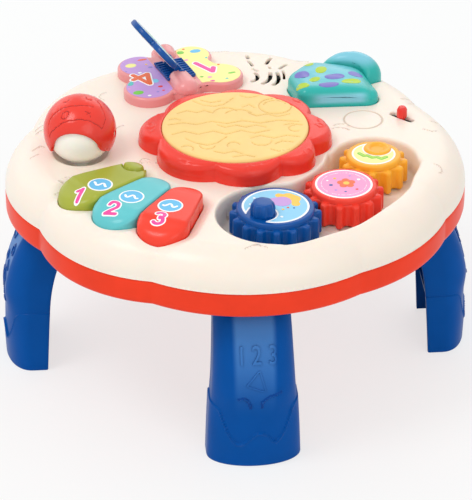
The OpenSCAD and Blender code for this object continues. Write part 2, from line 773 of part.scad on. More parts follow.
module wing_labels() color("#c9a0d6") translate([0, 0, plate_top]) linear_extrude(label_t)
    difference() {
        union() {
            wing_lobes(wing_left, -wing_rim);
            wing_lobes(wing_right, -wing_rim);
        }
        translate(butterfly_mid) rotate(body_dir) square([90, comb_w + 1], center = true);
        for (bulb = [near_bulb, far_bulb]) translate([bulb[0], bulb[1]]) circle(bulb[2] + 0.5);
    }

module hinge_comb() color("#1b3c86") butterfly_frame() {
    ribs = 8;
    pitch = (hinge_len - 2) / ribs;
    difference() {
        union() {
            translate([0, 0, plate_top]) block([hinge_len, comb_w, comb_h], 2);
            for (side = [-1, 1], k = [0:ribs])
                translate([(k - ribs / 2) * pitch, side * (comb_w / 2 - 3.5), plate_top])
                    block([1.8, 6, comb_h + 1], 0.8);
            for (side = [-1, 1]) translate([side * (hinge_len - ear_t) / 2, 0, 0]) {
                translate([0, 0, plate_top]) block([ear_t, 2 * knuckle_r + 0.8, hinge_h], 0.5);
                translate([-ear_t / 2, 0, hinge_z]) rotate([0, 90, 0])
                    cylinder(h = ear_t, r = knuckle_r + 0.4);
            }
        }
        translate([-hinge_len, 0, hinge_z]) rotate([0, 90, 0])
            cylinder(h = 2 * hinge_len, r = page_pin_r + seat_gap / 2);
    }
}

module page_pin() color("#c8cacc") butterfly_frame()
    translate([-hinge_len / 2 - 0.5, 0, hinge_z]) rotate([0, 90, 0])
        cylinder(h = hinge_len + 1, r = page_pin_r);

// Places children, drawn flat with X along the hinge and Y outwards, at the page's lean
module page_frame() {
    butterfly_frame() translate([0, 0, hinge_z]) rotate([page_lean, 0, 0]) children();
}

module page_outline(grow) {
    for (c = page_from_axis) translate([c[0], c[1]]) circle(c[2] + grow);
    polygon([[-20, 4.5 - grow], [18, 4.5 - grow], [30, 24], [12, 40], [-16, 30], [-23, 14]]);
}

module flip_page() color("#1b3c86") page_frame() {
    inner = hinge_len / 2 - ear_t - stop_gap;
    difference() {
        union() {
            translate([0, 0, -page_t / 2]) linear_extrude(page_t) page_outline(0);
            translate([-inner, 0, -page_t / 2]) cube([2 * inner, 6, page_t]);
            translate([-inner, 0, 0]) rotate([0, 90, 0]) cylinder(h = 2 * inner, r = knuckle_r);
        }
        translate([-hinge_len, 0, 0]) rotate([0, 90, 0])
            cylinder(h = 2 * hinge_len, r = page_pin_r + pin_gap);
    }
}

module page_labels() color("#8fd3cf") page_frame()
    for (z = [-page_t / 2 - label_t, page_t / 2]) translate([0, 0, z])
        linear_extrude(label_t) difference() {
            page_outline(-wing_rim);
            translate([-50, -10]) square([100, 18]);
        }

// ---- Ball and visor ----

module ball_frame() {
    translate([ball_at[0], ball_at[1], ball_z]) children();
}

module ball_dome() color("#fbf3e6") ball_frame() {
    seat = sqrt(dish_r * dish_r - stem_r * stem_r) - seat_gap;
    difference() {
        union() {
            sphere(ball_r);
            translate([0, 0, -seat]) cylinder(h = seat, r = stem_r);
            rotate([0, 0, visor_axis_dir]) rotate([0, 90, 0])
                translate([0, 0, -visor_r + 1]) cylinder(h = 2 * visor_r - 2, r = visor_pin_r);
        }
        translate([0, 0, -seat - CUT]) cylinder(h = 12, r = screw_r + seat_gap);
    }
}

module visor() color("#ec4436") ball_frame() difference() {
    sphere(visor_r);
    sphere(visor_r - visor_wall);
    translate([-FAR / 2, -FAR / 2, -FAR - visor_low]) cube(FAR);
    // the open side: everything further than visor_edge_at against visor_edge_dir
    rotate([0, 0, atan2(visor_edge_dir[1], visor_edge_dir[0])])
        rotate([0, acos(visor_edge_dir[2]), 0])
            translate([-FAR / 2, -FAR / 2, -FAR - visor_edge_at]) cube(FAR);
    rotate([0, 0, visor_axis_dir]) rotate([0, 90, 0]) translate([0, 0, -visor_r + 0.8])
        cylinder(h = 2 * visor_r - 1.6, r = visor_pin_r + pin_gap);
}

// ---- Hill and dome buttons ----

module button_plunger(at, top) {
    translate([at[0], at[1], plunger_z]) cylinder(h = top - plunger_z, r = button_plunger_r);
}

module hill_button() color("#55bfc0") {
    flange_z = flange_top - flange_h;
    top = deck_z + hill_rise;
    difference() {
        union() {
            translate([0, 0, flange_z]) linear_extrude(top - hill_crown - flange_z) hill_outline(0);
            hull() for (c = hill_corners) translate([c[0], c[1], top - hill_crown - 0.01])
                cylinder(h = hill_crown, r1 = c[2], r2 = c[2] - 5, $fn = HULL_FN);
            translate([0, 0, flange_z]) linear_extrude(flange_h) difference() {
                hill_outline(flange_w);
                dome_outline(2 * flange_w);
            }
        }
        translate([0, 0, flange_z - CUT])
            linear_extrude(top - hill_crown - button_wall - flange_z + CUT)
                hill_outline(-button_wall);
    }
    button_plunger(hill_mid, top - button_wall);
}

// Half ellipsoid on the deck, of the dome's outside or of its hollow
module dome_form(inset) {
    steps = 7;
    nearly_up = 84;
    ring_stack([for (k = [inset == 0 ? 0 : -1:steps]) let (a = nearly_up * max(k, 0) / steps)
        [for (t = [0:10:350]) [
            dome_at[0] + (dome_size[0] - inset) * cos(a) * cos(t),
            dome_at[1] + (dome_size[1] - inset) * cos(a) * sin(t),
            deck_z + (k < 0 ? -CUT : (dome_rise - inset) * sin(a) / sin(nearly_up))]]]);
}

module dome_button() color("#55bfc0") {
    flange_z = flange_top - flange_h;
    difference() {
        union() {
            dome_form(0);
            translate([0, 0, flange_z]) linear_extrude(deck_z - flange_z) dome_outline(0);
            translate([0, 0, flange_z]) linear_extrude(flange_h) dome_outline(flange_w);
        }
        dome_form(button_wall);
        translate([0, 0, flange_z - CUT]) linear_extrude(deck_z - flange_z + CUT)
            dome_outline(-button_wall);
        // the side that stands behind the hill follows the hill's outline
        translate([0, 0, flange_z - CUT]) linear_extrude(2 * cover_h) hill_outline(2 * slide_gap);
        translate([0, 0, flange_z - CUT]) linear_extrude(flange_h + 2 * CUT)
            hill_outline(2 * flange_w);
    }
    button_plunger(dome_plunger_at, deck_z + dome_rise * 0.6);
}

module hill_rubber_dome() color("#d9d9d4")
    translate([hill_mid[0], hill_mid[1], board_top]) rubber_dome(rubber_h);
module dome_rubber_dome() color("#d9d9d4")
    translate([dome_plunger_at[0], dome_plunger_at[1], board_top]) rubber_dome(rubber_h);

// ---- Slide switch ----

module switch_knob() color("#e0281c") switch_frame() {
    translate([0, 0, deck_z + stop_gap]) {
        cylinder(h = switch_knob_h * 0.6, r = switch_knob_r);
        translate([0, 0, switch_knob_h * 0.6])
            cylinder(h = switch_knob_h * 0.4, r1 = switch_knob_r, r2 = switch_knob_r * 0.7);
    }
    translate([0, 0, deck_under - 3]) block([switch_neck, switch_neck, 5 + cover_wall - 1], 0.5);
}

module switch_body() color("#3b3f45") switch_frame() translate([0, 0, deck_under - 6.5])
    difference() {
        block([slot_len + 4, 12, 6.5 - foam_gap], 0.5);
        translate([0, 0, 2.5])
            block([2 * switch_travel + switch_neck + 2, switch_neck + 1, 5], 0.5);
    }

// ---- Inside ----

module speaker() color("#4a4d52")
    translate([speaker_at[0], speaker_at[1], deck_under - foam_gap]) {
    translate([0, 0, -2]) tube(speaker_r, speaker_r - 3, 2);
    translate([0, 0, -7]) cylinder(h = 6, r1 = speaker_r * 0.5, r2 = speaker_r - 2);
    translate([0, 0, -speaker_h]) cylinder(h = 5, r = speaker_r * 0.55);
}

module board(outline_at, size, holes) {
    difference() {
        translate([outline_at[0], outline_at[1], band_top]) block([size[0], size[1], board_t], 2);
        for (at = holes) translate([at[0], at[1], band_top - CUT])
            cylinder(h = board_t + 2 * CUT, r = board_screw_r + seat_gap);
    }
}

module main_board() color("#2f7d4f") board([0, -1.5], [66, 64], main_posts);

module key_board() color("#2f7d4f") difference() {
    translate([0, 0, band_top]) linear_extrude(board_t) intersection() {
        difference() {
            circle(key_dome_r + 21);
            circle(key_dome_r - 28);
        }
        polygon([[0, 0], for (a = [-28, 0, 28]) polar(FAR, key_dirs[1] + a)]);
    }
    for (at = key_posts) translate([at[0], at[1], band_top - CUT])
        cylinder(h = board_t + 2 * CUT, r = board_screw_r + seat_gap);
}

module button_board() color("#2f7d4f") board([87, 92], [66, 72], button_posts);

module board_screws() color("#b9bcc0")
    for (at = concat(main_posts, key_posts, button_posts))
        translate([at[0], at[1], board_top + 1.2]) mirror([0, 0, 1])
            screw(board_screw_r, 6, board_screw_r + 1, 1.2);

module battery_frame() {
    translate([battery_at[0], battery_at[1], 0]) children();
}

cell_z = floor_top + cell_gap + cell_d / 2;
cell_rows = [-1, 0, 1];

module battery_box() color("#2c2e33") battery_frame() difference() {
    translate([0, 0, floor_top]) block([box_out[0], box_out[1], box_h + box_wall], 1);
    translate([0, 0, floor_top - CUT]) block([box_len, box_w, box_h + CUT], 0.5);
}

module batteries() color("#c9a23c") battery_frame()
    for (k = cell_rows) translate([-cell_len / 2, k * (cell_d + cell_gap), cell_z])
        rotate([0, 90, 0]) {
            cylinder(h = cell_len - 1, r = cell_d / 2);
            cylinder(h = cell_len, r = 2.6);
        }

contact_at = box_len / 2 - 0.4;             // middle of a contact plate's thickness
spring_tip = cell_len / 2 + seat_gap;
module battery_contacts() color("#c4c6c8") battery_frame()
    for (side = [-1, 1], k = cell_rows) translate([0, k * (cell_d + cell_gap), cell_z]) {
        translate([side * contact_at, 0, 0]) cube([0.6, 10, 10], center = true);
        translate([side * (contact_at + spring_tip) / 2, 0, 0]) rotate([0, 90, 0])
            cylinder(h = contact_at - spring_tip, r = 2.4, center = true);
    }

module battery_door() color("#e83f28") battery_frame() difference() {
    translate([0, 0, base_z]) block([door_size[0] - 2 * door_gap, door_size[1] - 2 * door_gap, door_t], 3);
    translate([door_boss[0], door_boss[1], base_z - CUT]) {
        cylinder(h = door_t + 2 * CUT, r = board_screw_r + seat_gap);
        cylinder(h = 1.2 + CUT, r = board_screw_r + 1.2);
    }
}

module battery_door_screw() color("#b9bcc0") battery_frame()
    translate([door_boss[0], door_boss[1], base_z]) screw(board_screw_r, 1.6, board_screw_r + 1, 1.2);

module case_screws() color("#b9bcc0") translate([0, 0, base_z + post_sink - screw_head_h])
    around(post_ring_r, post_angles) screw(screw_r, 26, screw_head_r, screw_head_h);

module rim_screws() color("#b9bcc0") translate([0, 0, deck_under - screw_head_h])
    around(rim_screw_ring_r, rim_screw_angles) screw(screw_r, 9, screw_head_r, screw_head_h);

module butterfly_screws() color("#b9bcc0")
    for (at = butterfly_screws_at) translate([at[0], at[1], deck_under - screw_head_h])
        screw(screw_r, 7, screw_head_r, screw_head_h);

module ball_screw() color("#b9bcc0") ball_frame()
    translate([0, 0, -dish_r - 6 - screw_head_h]) screw(screw_r, 15, screw_head_r, screw_head_h);

top_cover();
base_shell();
leg_front();
leg_right();
leg_back();
leg_left();
drum_rim();
drum_pad();
drum_rubber_dome();
key_1();
key_2();
key_3();
key_1_label();
key_2_label();
key_3_label();
key_1_rubber_dome();
key_2_rubber_dome();
key_3_rubber_dome();
gear_blue();
gear_red();
gear_yellow();
crank_knob();
gear_blue_label();
gear_red_label();
gear_yellow_label();
gear_blue_screw();
gear_red_screw();
gear_yellow_screw();
butterfly_plate();
wing_labels();
hinge_comb();
page_pin();
flip_page();
page_labels();
ball_dome();
visor();
hill_button();
dome_button();
hill_rubber_dome();
dome_rubber_dome();
switch_knob();
switch_body();
speaker();
main_board();
key_board();
button_board();
battery_box();
batteries();
battery_contacts();
battery_door();
battery_door_screw();
case_screws();
rim_screws();
butterfly_screws();
ball_screw();
board_screws();
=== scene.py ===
import bmesh
import bpy
import math
import numpy as np
from mathutils import Matrix, Vector
from mathutils.geometry import delaunay_2d_cdt
from mathutils.kdtree import KDTree


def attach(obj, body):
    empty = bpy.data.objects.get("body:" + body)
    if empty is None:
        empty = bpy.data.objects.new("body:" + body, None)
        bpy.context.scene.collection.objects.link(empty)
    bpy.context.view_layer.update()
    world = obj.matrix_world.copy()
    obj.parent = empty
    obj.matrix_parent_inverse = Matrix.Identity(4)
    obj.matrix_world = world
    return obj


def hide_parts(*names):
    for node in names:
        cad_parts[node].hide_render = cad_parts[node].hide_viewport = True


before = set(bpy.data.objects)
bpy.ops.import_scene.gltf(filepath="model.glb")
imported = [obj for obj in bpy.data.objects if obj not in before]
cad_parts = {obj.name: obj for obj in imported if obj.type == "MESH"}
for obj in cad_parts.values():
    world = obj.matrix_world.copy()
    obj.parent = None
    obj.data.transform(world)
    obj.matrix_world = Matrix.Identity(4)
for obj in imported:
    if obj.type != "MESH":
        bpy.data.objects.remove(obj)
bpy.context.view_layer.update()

MM = 0.001
TAU = 2 * math.pi


# ---------------------------------------------------------------- materials

def linear(code):
    """The linear colour of a #rrggbb code."""
    values = [int(code[i:i + 2], 16) / 255 for i in (1, 3, 5)]
    return tuple(v / 12.92 if v <= 0.04045 else ((v + 0.055) / 1.055) ** 2.4 for v in values) + (1.0,)


def material(name):
    mat = bpy.data.materials.new(name)
    mat.use_nodes = True
    return mat, mat.node_tree, mat.node_tree.nodes["Principled BSDF"]


def node(tree, kind, sources=None, **values):
    """A shader node: sources are the sockets linked into it, values its settings and inputs."""
    made = tree.nodes.new("ShaderNode" + kind)
    for key, value in values.items():
        if hasattr(made, key) and key not in made.inputs:
            setattr(made, key, value)
        else:
            made.inputs[key].default_value = value
    for into, source in (sources or {}).items():
        tree.links.new(source, made.inputs[into])
    return made


def remap(tree, value, start=0.0, end=1.0, low=0.0, high=1.0, kind="LINEAR"):
    """A socket's value carried from start..end to low..high."""
    limits = {"From Min": start, "From Max": end, "To Min": low, "To Max": high}
    return node(tree, "MapRange", {"Value": value}, interpolation_type=kind, **limits).outputs["Result"]


def maths(tree, kind, first, *rest):
    """One Math operation on a socket, or chained over sockets and plain numbers."""
    total = first
    for value in rest or (None,):
        made = node(tree, "Math", {0: total}, operation=kind)
        if isinstance(value, float):
            made.inputs[1].default_value = value
        elif value is not None:
            tree.links.new(value, made.inputs[1])
        total = made.outputs[0]
    return total


def place_of(tree):
    return node(tree, "TexCoord").outputs["Object"]


def skin(tree, bsdf, patches, least, most, pebbles, strength, depth):
    """Roughness from least to most with the patches, and a fine bump."""
    tree.links.new(remap(tree, patches, low=least, high=most), bsdf.inputs["Roughness"])
    bump = node(tree, "Bump", {"Height": pebbles}, Strength=strength, Distance=depth)
    tree.links.new(bump.outputs["Normal"], bsdf.inputs["Normal"])


def plastic(name, code, rough=0.3, coat=0.12, grain=0.04, mottle=0.06, scale=900.0, subsurface=0.0,
            shine=0.25):
    """Moulded plastic: a fine pebbled skin, slight cloudiness and patchy gloss."""
    mat, tree, bsdf = material(name)
    place = place_of(tree)
    cloud = node(tree, "TexNoise", {"Vector": place}, Scale=28.0, Detail=3.0, Roughness=0.6).outputs["Fac"]
    ramp = node(tree, "ValToRGB", {"Fac": cloud})
    base = linear(code)[:3]
    for element, position, share in zip(ramp.color_ramp.elements, (0.3, 0.75), (1 - mottle, 1 + mottle)):
        element.position = position
        element.color = [min(1, c * share) for c in base] + [1]
    tree.links.new(ramp.outputs["Color"], bsdf.inputs["Base Color"])
    pebble = node(tree, "TexNoise", {"Vector": place}, Scale=scale, Detail=2.0).outputs["Fac"]
    skin(tree, bsdf, cloud, rough * 0.9, rough * 1.12, pebble, grain, 0.0002)
    bsdf.inputs["Specular IOR Level"].default_value = shine
    bsdf.inputs["Coat Weight"].default_value = coat
    bsdf.inputs["Coat Roughness"].default_value = 0.12
    if subsurface:
        bsdf.inputs["Subsurface Weight"].default_value = subsurface
        bsdf.inputs["Subsurface Scale"].default_value = 0.004
    return mat


def metal(name, code):
    """Bright metal with fine brushing."""
    mat, tree, bsdf = material(name)
    brush = node(tree, "TexNoise", {"Vector": place_of(tree)}, Scale=600.0, Detail=4.0).outputs["Fac"]
    skin(tree, bsdf, brush, 0.24, 0.39, brush, 0.05, 0.0001)
    bsdf.inputs["Base Color"].default_value = linear(code)
    bsdf.inputs["Metallic"].default_value = 1.0
    return mat


def windows(tree):
    """Gives window(axis or socket, start, end): 0 at start, 1 at end, along an axis in mm."""
    axes = node(tree, "SeparateXYZ", {"Vector": place_of(tree)}).outputs

    def window(along, start, end):
        socket = axes[along] if isinstance(along, str) else along
        return remap(tree, socket, start * MM, end * MM, kind="SMOOTHSTEP")
    return axes, window


def paint_leg_reflection(mat, light, share):
    """A painted reflection: a lighter band down the flat front of each leg, fading out towards its foot."""
    tree = mat.node_tree
    axes, window = windows(tree)
    aside = maths(tree, "MINIMUM", *[maths(tree, "ABSOLUTE", axes[a]) for a in "XY"])
    band = maths(tree, "MULTIPLY", window(aside, 17.5, 12.5), window("Z", 42, 112), share)
    colour = tree.nodes["Principled BSDF"].inputs["Base Color"]
    # the painted reflection's lighter colour is mixed in over the band
    blend = node(tree, "MixRGB", {"Fac": band, "Color1": colour.links[0].from_socket}, Color2=linear(light))
    tree.links.new(blend.outputs[0], colour)


def teal_with_painted_light():
    """The hill's and the dome's plastic, with painted light: lighter over the hill's top, and a painted
    reflection in a panel on its front.
    """
    mat = plastic("teal_button_plastic", "#45c3c0", rough=0.26)
    tree = mat.node_tree
    _, window = windows(tree)
    # painted top light over the upper parts, and a painted reflection in a panel on the hill's front
    painted_top_light = maths(tree, "MULTIPLY", window("Z", 188.5, 196.5), window("Y", 59, 72))
    painted_front_reflection = maths(tree, "MULTIPLY", window("X", 62, 76), window("X", 114, 104), window("Z", 179.5, 183),
                  window("Z", 190.5, 187), window("Y", 62, 57))
    blend = node(tree, "MixRGB", {"Fac": maths(tree, "MAXIMUM", painted_top_light, painted_front_reflection)}, Color1=linear("#2fb9b2"),
                 Color2=linear("#84cfe2"))
    mottled = next(n for n in tree.nodes if n.bl_idname == "ShaderNodeValToRGB")
    for element, grey in zip(mottled.color_ramp.elements, (0.94, 1)):
        element.color = (grey, grey, grey, 1)
    tint = node(tree, "MixRGB", {"Color1": blend.outputs["Color"], "Color2": mottled.outputs["Color"]},
                Fac=1.0, blend_type="MULTIPLY")
    tree.links.new(tint.outputs["Color"], tree.nodes["Principled BSDF"].inputs["Base Color"])
    return mat


CREAM = plastic("cream_plastic", "#f5e9dc", rough=0.34, mottle=0.012, subsurface=0.15)
# darker cream for painted shade on the deck's moulded marks and in the engraved ring
CREAM_PAINTED_SHADE = plastic("cream_painted_shade_plastic", "#dccbba", rough=0.4, mottle=0.012)
BAND = plastic("red_band_plastic", "#ef4025", coat=0.02, shine=0.08)
LEG = plastic("leg_plastic", "#004f9f", rough=0.34, coat=0.02, shine=0.06)
# painted reflection: a lighter blue band down each leg's front
paint_leg_reflection(LEG, "#5f9ada", 0.52)
# darker blue for painted shade on the sides of the legs' raised digits, marks and triangle
LEG_PAINTED_SHADE = plastic("leg_painted_shade_plastic", "#00418e", rough=0.4, coat=0.0, shine=0.1)
CORAL = plastic("coral_plastic", "#ec3c2e", rough=0.26)
DRUM = plastic("drum_plastic", "#f4d186", rough=0.38, coat=0.05)
# darker yellow for painted shade in the pad's grooves
DRUM_PAINTED_SHADE = plastic("drum_painted_shade_plastic", "#e2b568", rough=0.4)
OLIVE = plastic("olive_plastic", "#a3ab3a", rough=0.28)
TEAL_KEY = plastic("teal_key_plastic", "#62c4ca", rough=0.28)
RED_KEY = plastic("red_key_plastic", "#f0402c", rough=0.26)
NAVY = plastic("navy_plastic", "#034f9c", rough=0.28, coat=0.1, shine=0.22)
RED_GEAR = plastic("red_gear_plastic", "#f0402f")
YELLOW_GEAR = plastic("yellow_gear_plastic", "#fcb232", rough=0.32)
PINK = plastic("pink_plastic", "#e8999a", rough=0.22, coat=0.25)
BALL = plastic("ball_plastic", "#fffaf0", rough=0.32, mottle=0.012, subsurface=0.15)
VISOR = plastic("visor_plastic", "#e93a2c", rough=0.25, coat=0.25)
# darker red for painted shade in the visor's grooves
VISOR_PAINTED_SHADE = plastic("visor_painted_shade_plastic", "#a8211c", rough=0.35)
# teal plastic with painted top light and a painted front reflection
TEAL = teal_with_painted_light()
SWITCH = plastic("switch_plastic", "#e8322a", rough=0.25, coat=0.4)
DARK = plastic("dark_plastic", "#3a3d42", rough=0.45)
SILICONE = plastic("silicone_rubber", "#d6d3cb", rough=0.55, coat=0.0, subsurface=0.3)
SPEAKER = plastic("speaker_paper", "#1c1c1e", rough=0.8, coat=0.0, grain=0.3)
BOARD = plastic("circuit_board", "#1f6b3c", rough=0.42)
CELL = plastic("cell_wrap", "#2c63a8", coat=0.4)
STEEL = metal("steel", "#c3c6ca")
INK = {name: plastic("ink_" + name, code, rough=0.32, coat=0.15, grain=0.015, mottle=0.03, scale=1400.0)
       for name, code in (
           ("white", "#ffffff"), ("blue", "#62bdea"), ("sky", "#8ccff0"), ("pink", "#ee4fa2"),
           ("lilac", "#c79bdd"), ("cream", "#fbf39b"), ("rose", "#f59ccb"), ("orange", "#f2693a"),
           ("green", "#7ccf4b"), ("teal", "#58c6c4"), ("violet", "#9586d2"), ("lime", "#c2dd4c"),
           ("purple", "#7a74c4"), ("leaf", "#b3d23c"), ("red", "#ea4a46"), ("navy", "#2f5fa8"),
           ("yellow", "#fbc84b"))}


# ---------------------------------------------------------------- flat shapes as distance functions (mm)

def disc(at, r):
    return lambda p: np.hypot(p[:, 0] - at[0], p[:, 1] - at[1]) - r


def polar(r, angle, at=(0, 0)):
    a = math.radians(angle)
    return (at[0] + r * math.cos(a), at[1] + r * math.sin(a))


def turned(x, y, turn, at=(0, 0)):
    """A place given in a turned frame."""
    c, s = polar(1, turn)
    return (at[0] + x * c - y * s, at[1] + x * s + y * c)


def seen_from(p, at, turn):
    """The x and y of places in the frame at a middle, turned."""
    return turned(p[:, 0] - at[0], p[:, 1] - at[1], -turn)


def radius_of(p):
    return np.hypot(p[:, 0], p[:, 1])


def oval(at, rx, ry, turn=0.0):
    def f(p):
        x, y = seen_from(p, at, turn)
        k = np.hypot(x / rx, y / ry)
        g = np.hypot(x / rx ** 2, y / ry ** 2)
        return np.where(g > 1e-9, k * (k - 1) / np.maximum(g, 1e-9), -min(rx, ry))
    return f


def slug(a, ra, b, rb):
    """Two circles and the sides that join them."""
    a, b = np.array(a, float), np.array(b, float)
    length = np.hypot(*(b - a))
    u = (b - a) / length
    slope = (ra - rb) / length
    level = math.sqrt(1 - slope * slope)

    def f(p):
        q = p - a
        x = np.abs(q[:, 0] * u[1] - q[:, 1] * u[0])
        y = q @ u
        k = -slope * x + level * y
        return np.where(k < 0, np.hypot(x, y) - ra,
                        np.where(k > level * length, np.hypot(x, y - length) - rb,
                                 x * level + y * slope - ra))
    return f


def union(*shapes, blend=0.0):
    def f(p):
        d = shapes[0](p)
        for shape in shapes[1:]:
            e = shape(p)
            if blend:
                h = np.clip(0.5 + 0.5 * (e - d) / blend, 0, 1)
                d = e * (1 - h) + d * h - blend * h * (1 - h)
            else:
                d = np.minimum(d, e)
        return d
    return f


def cut(shape, hole):
    return lambda p: np.maximum(shape(p), -hole(p))


def grow(shape, by):
    return lambda p: shape(p) - by


def polyline(points, closed=False, half=0.0):
    """Distance to a line of points, less half its width."""
    pts = np.array(points, float)
    ends = np.roll(pts, -1, 0) if closed else pts[1:]
    starts = pts if closed else pts[:-1]

    def f(p):
        best = np.full(len(p), 1e9)
        for s, e in zip(starts, ends):
            d = e - s
            t = np.clip(((p - s) @ d) / max(d @ d, 1e-9), 0, 1)
            best = np.minimum(best, np.hypot(*(p - s - t[:, None] * d).T))
        return best - half
    return f


def polygon(points):
    """Signed distance to a closed polygon, negative inside."""
    pts = np.array(points, float)
    edge = polyline(points, closed=True)

    def f(p):
        inside = np.zeros(len(p), bool)
        for (x0, y0), (x1, y1) in zip(pts, np.roll(pts, -1, 0)):
            crosses = (y0 > p[:, 1]) != (y1 > p[:, 1])
            x = x0 + (p[:, 1] - y0) * (x1 - x0) / ((y1 - y0) or 1e-12)
            inside ^= crosses & (p[:, 0] < x)
        return np.where(inside, -edge(p), edge(p))
    return f


def contours(f, box, step, level=0.0, spacing=None):
    """Closed loops where f equals level, inside on the left."""
    xs = np.arange(box[0] - step, box[2] + 2 * step, step)
    ys = np.arange(box[1] - step, box[3] + 2 * step, step)
    grid = np.stack(np.meshgrid(xs, ys, indexing="ij"), -1)
    v = f(grid.reshape(-1, 2)).reshape(len(xs), len(ys)) - level
    v[v == 0] = 1e-9
    inside = v < 0

    def crossing(i, j, k, l):
        t = v[i, j] / (v[i, j] - v[k, l])
        return grid[i, j] + (grid[k, l] - grid[i, j]) * t

    mixed = inside[:-1, :-1].astype(int) + inside[1:, :-1] + inside[1:, 1:] + inside[:-1, 1:]
    following, places = {}, {}
    for i, j in zip(*np.nonzero((mixed > 0) & (mixed < 4))):
        ring = [(i, j), (i + 1, j), (i + 1, j + 1), (i, j + 1)]
        leave, enter = [], []
        for a, b in zip(ring, ring[1:] + ring[:1]):
            if inside[a] != inside[b]:
                key = (min(a, b), max(a, b))
                if key not in places:
                    places[key] = crossing(*key[0], *key[1])
                (leave if inside[a] else enter).append(key)
        if len(leave) == 2 and f(grid[i, j][None] + step / 2)[0] < level:
            enter.reverse()
        for a, b in zip(leave, enter):
            following[a] = b
    loops = []
    while following:
        start, at = next(iter(following.items()))
        loop = [start]
        del following[start]
        while at != start and at in following:
            loop.append(at)
            at = following.pop(at)
        pts = np.array([places[k] for k in loop])
        for _ in range(3):
            e = 1e-3
            g = np.stack([f(pts + [e, 0]) - f(pts - [e, 0]), f(pts + [0, e]) - f(pts - [0, e])], -1) / (2 * e)
            pts = pts - g * ((f(pts) - level) / np.maximum((g ** 2).sum(1), 0.25))[:, None]
        pts = resample(pts, spacing or step)
        loops.append(pts)
    return loops


def resample(pts, spacing):
    """A closed loop with its points evenly spaced."""
    ring = np.vstack([pts, pts[:1]])
    run = np.concatenate([[0], np.cumsum(np.hypot(*np.diff(ring, axis=0).T))])
    n = max(8, int(round(run[-1] / spacing)))
    t = np.arange(n) * run[-1] / n
    return np.stack([np.interp(t, run, ring[:, 0]), np.interp(t, run, ring[:, 1])], -1)


def tiles(loops, keep, box, step, more=None):
    """Triangles over the region where keep is true, with every loop as edges in the mesh."""
    pts = [p for loop in loops for p in loop]
    edges, n = [], 0
    for loop in loops:
        edges += [(n + i, n + (i + 1) % len(loop)) for i in range(len(loop))]
        n += len(loop)
    tree = KDTree(max(n, 1))
    for i, p in enumerate(pts):
        tree.insert((p[0], p[1], 0), i)
    tree.balance()
    rows = np.arange(box[1], box[3], step * 0.866)
    grid = np.array([(x + (step / 2 if k % 2 else 0), y) for k, y in enumerate(rows)
                     for x in np.arange(box[0], box[2], step)])
    if more is not None:
        grid = np.vstack([grid, more])
    grid = grid[keep(grid)]
    grid = [g for g in grid if tree.find((g[0], g[1], 0))[2] > step * 0.45]
    out = delaunay_2d_cdt([Vector(p) for p in pts + list(grid)], edges, [], 0, 1e-5)
    verts = np.array([tuple(v) for v in out[0]])
    faces = np.array([tuple(t) for t in out[2]])
    faces = faces[keep(verts[faces].mean(1))]
    used = np.unique(faces)
    index = np.full(len(verts), -1)
    index[used] = np.arange(len(used))
    return verts[used], index[faces]


# ---------------------------------------------------------------- building pieces (mm)

def round_drop(d, radius, drop):
    """How far a rounded edge falls at a distance d inside the outline."""
    t = np.clip(1 - np.asarray(d, float) / np.maximum(radius, 1e-6), 0, 1)
    return drop * (1 - np.sqrt(np.maximum(0, 1 - t * t)))


def smooth(a, b, x):
    t = np.clip((x - a) / (b - a), 0, 1)
    return t * t * (3 - 2 * t)


def risen(flat, z):
    """Flat places lifted to a height, one for all or one each."""
    return np.column_stack([flat, np.broadcast_to(np.asarray(z, float), len(flat))])


def circle_ring(at, r, z, n=64):
    """n places round a centre, at a radius and a height, one for all or one each."""
    a = np.arange(n) * TAU / n
    return risen(np.stack([at[0] + r * np.cos(a), at[1] + r * np.sin(a)], -1), z)


def shift(at, z=0.0):
    return Matrix.Translation(Vector((*at, z)))


def spin(angle, axis="Z"):
    return Matrix.Rotation(math.radians(angle), 4, axis)


def placed(points, matrix):
    return np.array([tuple(matrix @ Vector(v)) for v in points])


def right_of(tangent):
    """Unit vectors to the right of flat directions."""
    normal = np.stack([tangent[:, 1], -tangent[:, 0]], -1)
    return normal / np.maximum(np.hypot(*normal.T), 1e-6)[:, None]


NO_GRID = 1e3                   # a step so wide that a region gets no places inside


def around(at, r):
    """The box of half size r round a place."""
    return (at[0] - r, at[1] - r, at[0] + r, at[1] + r)


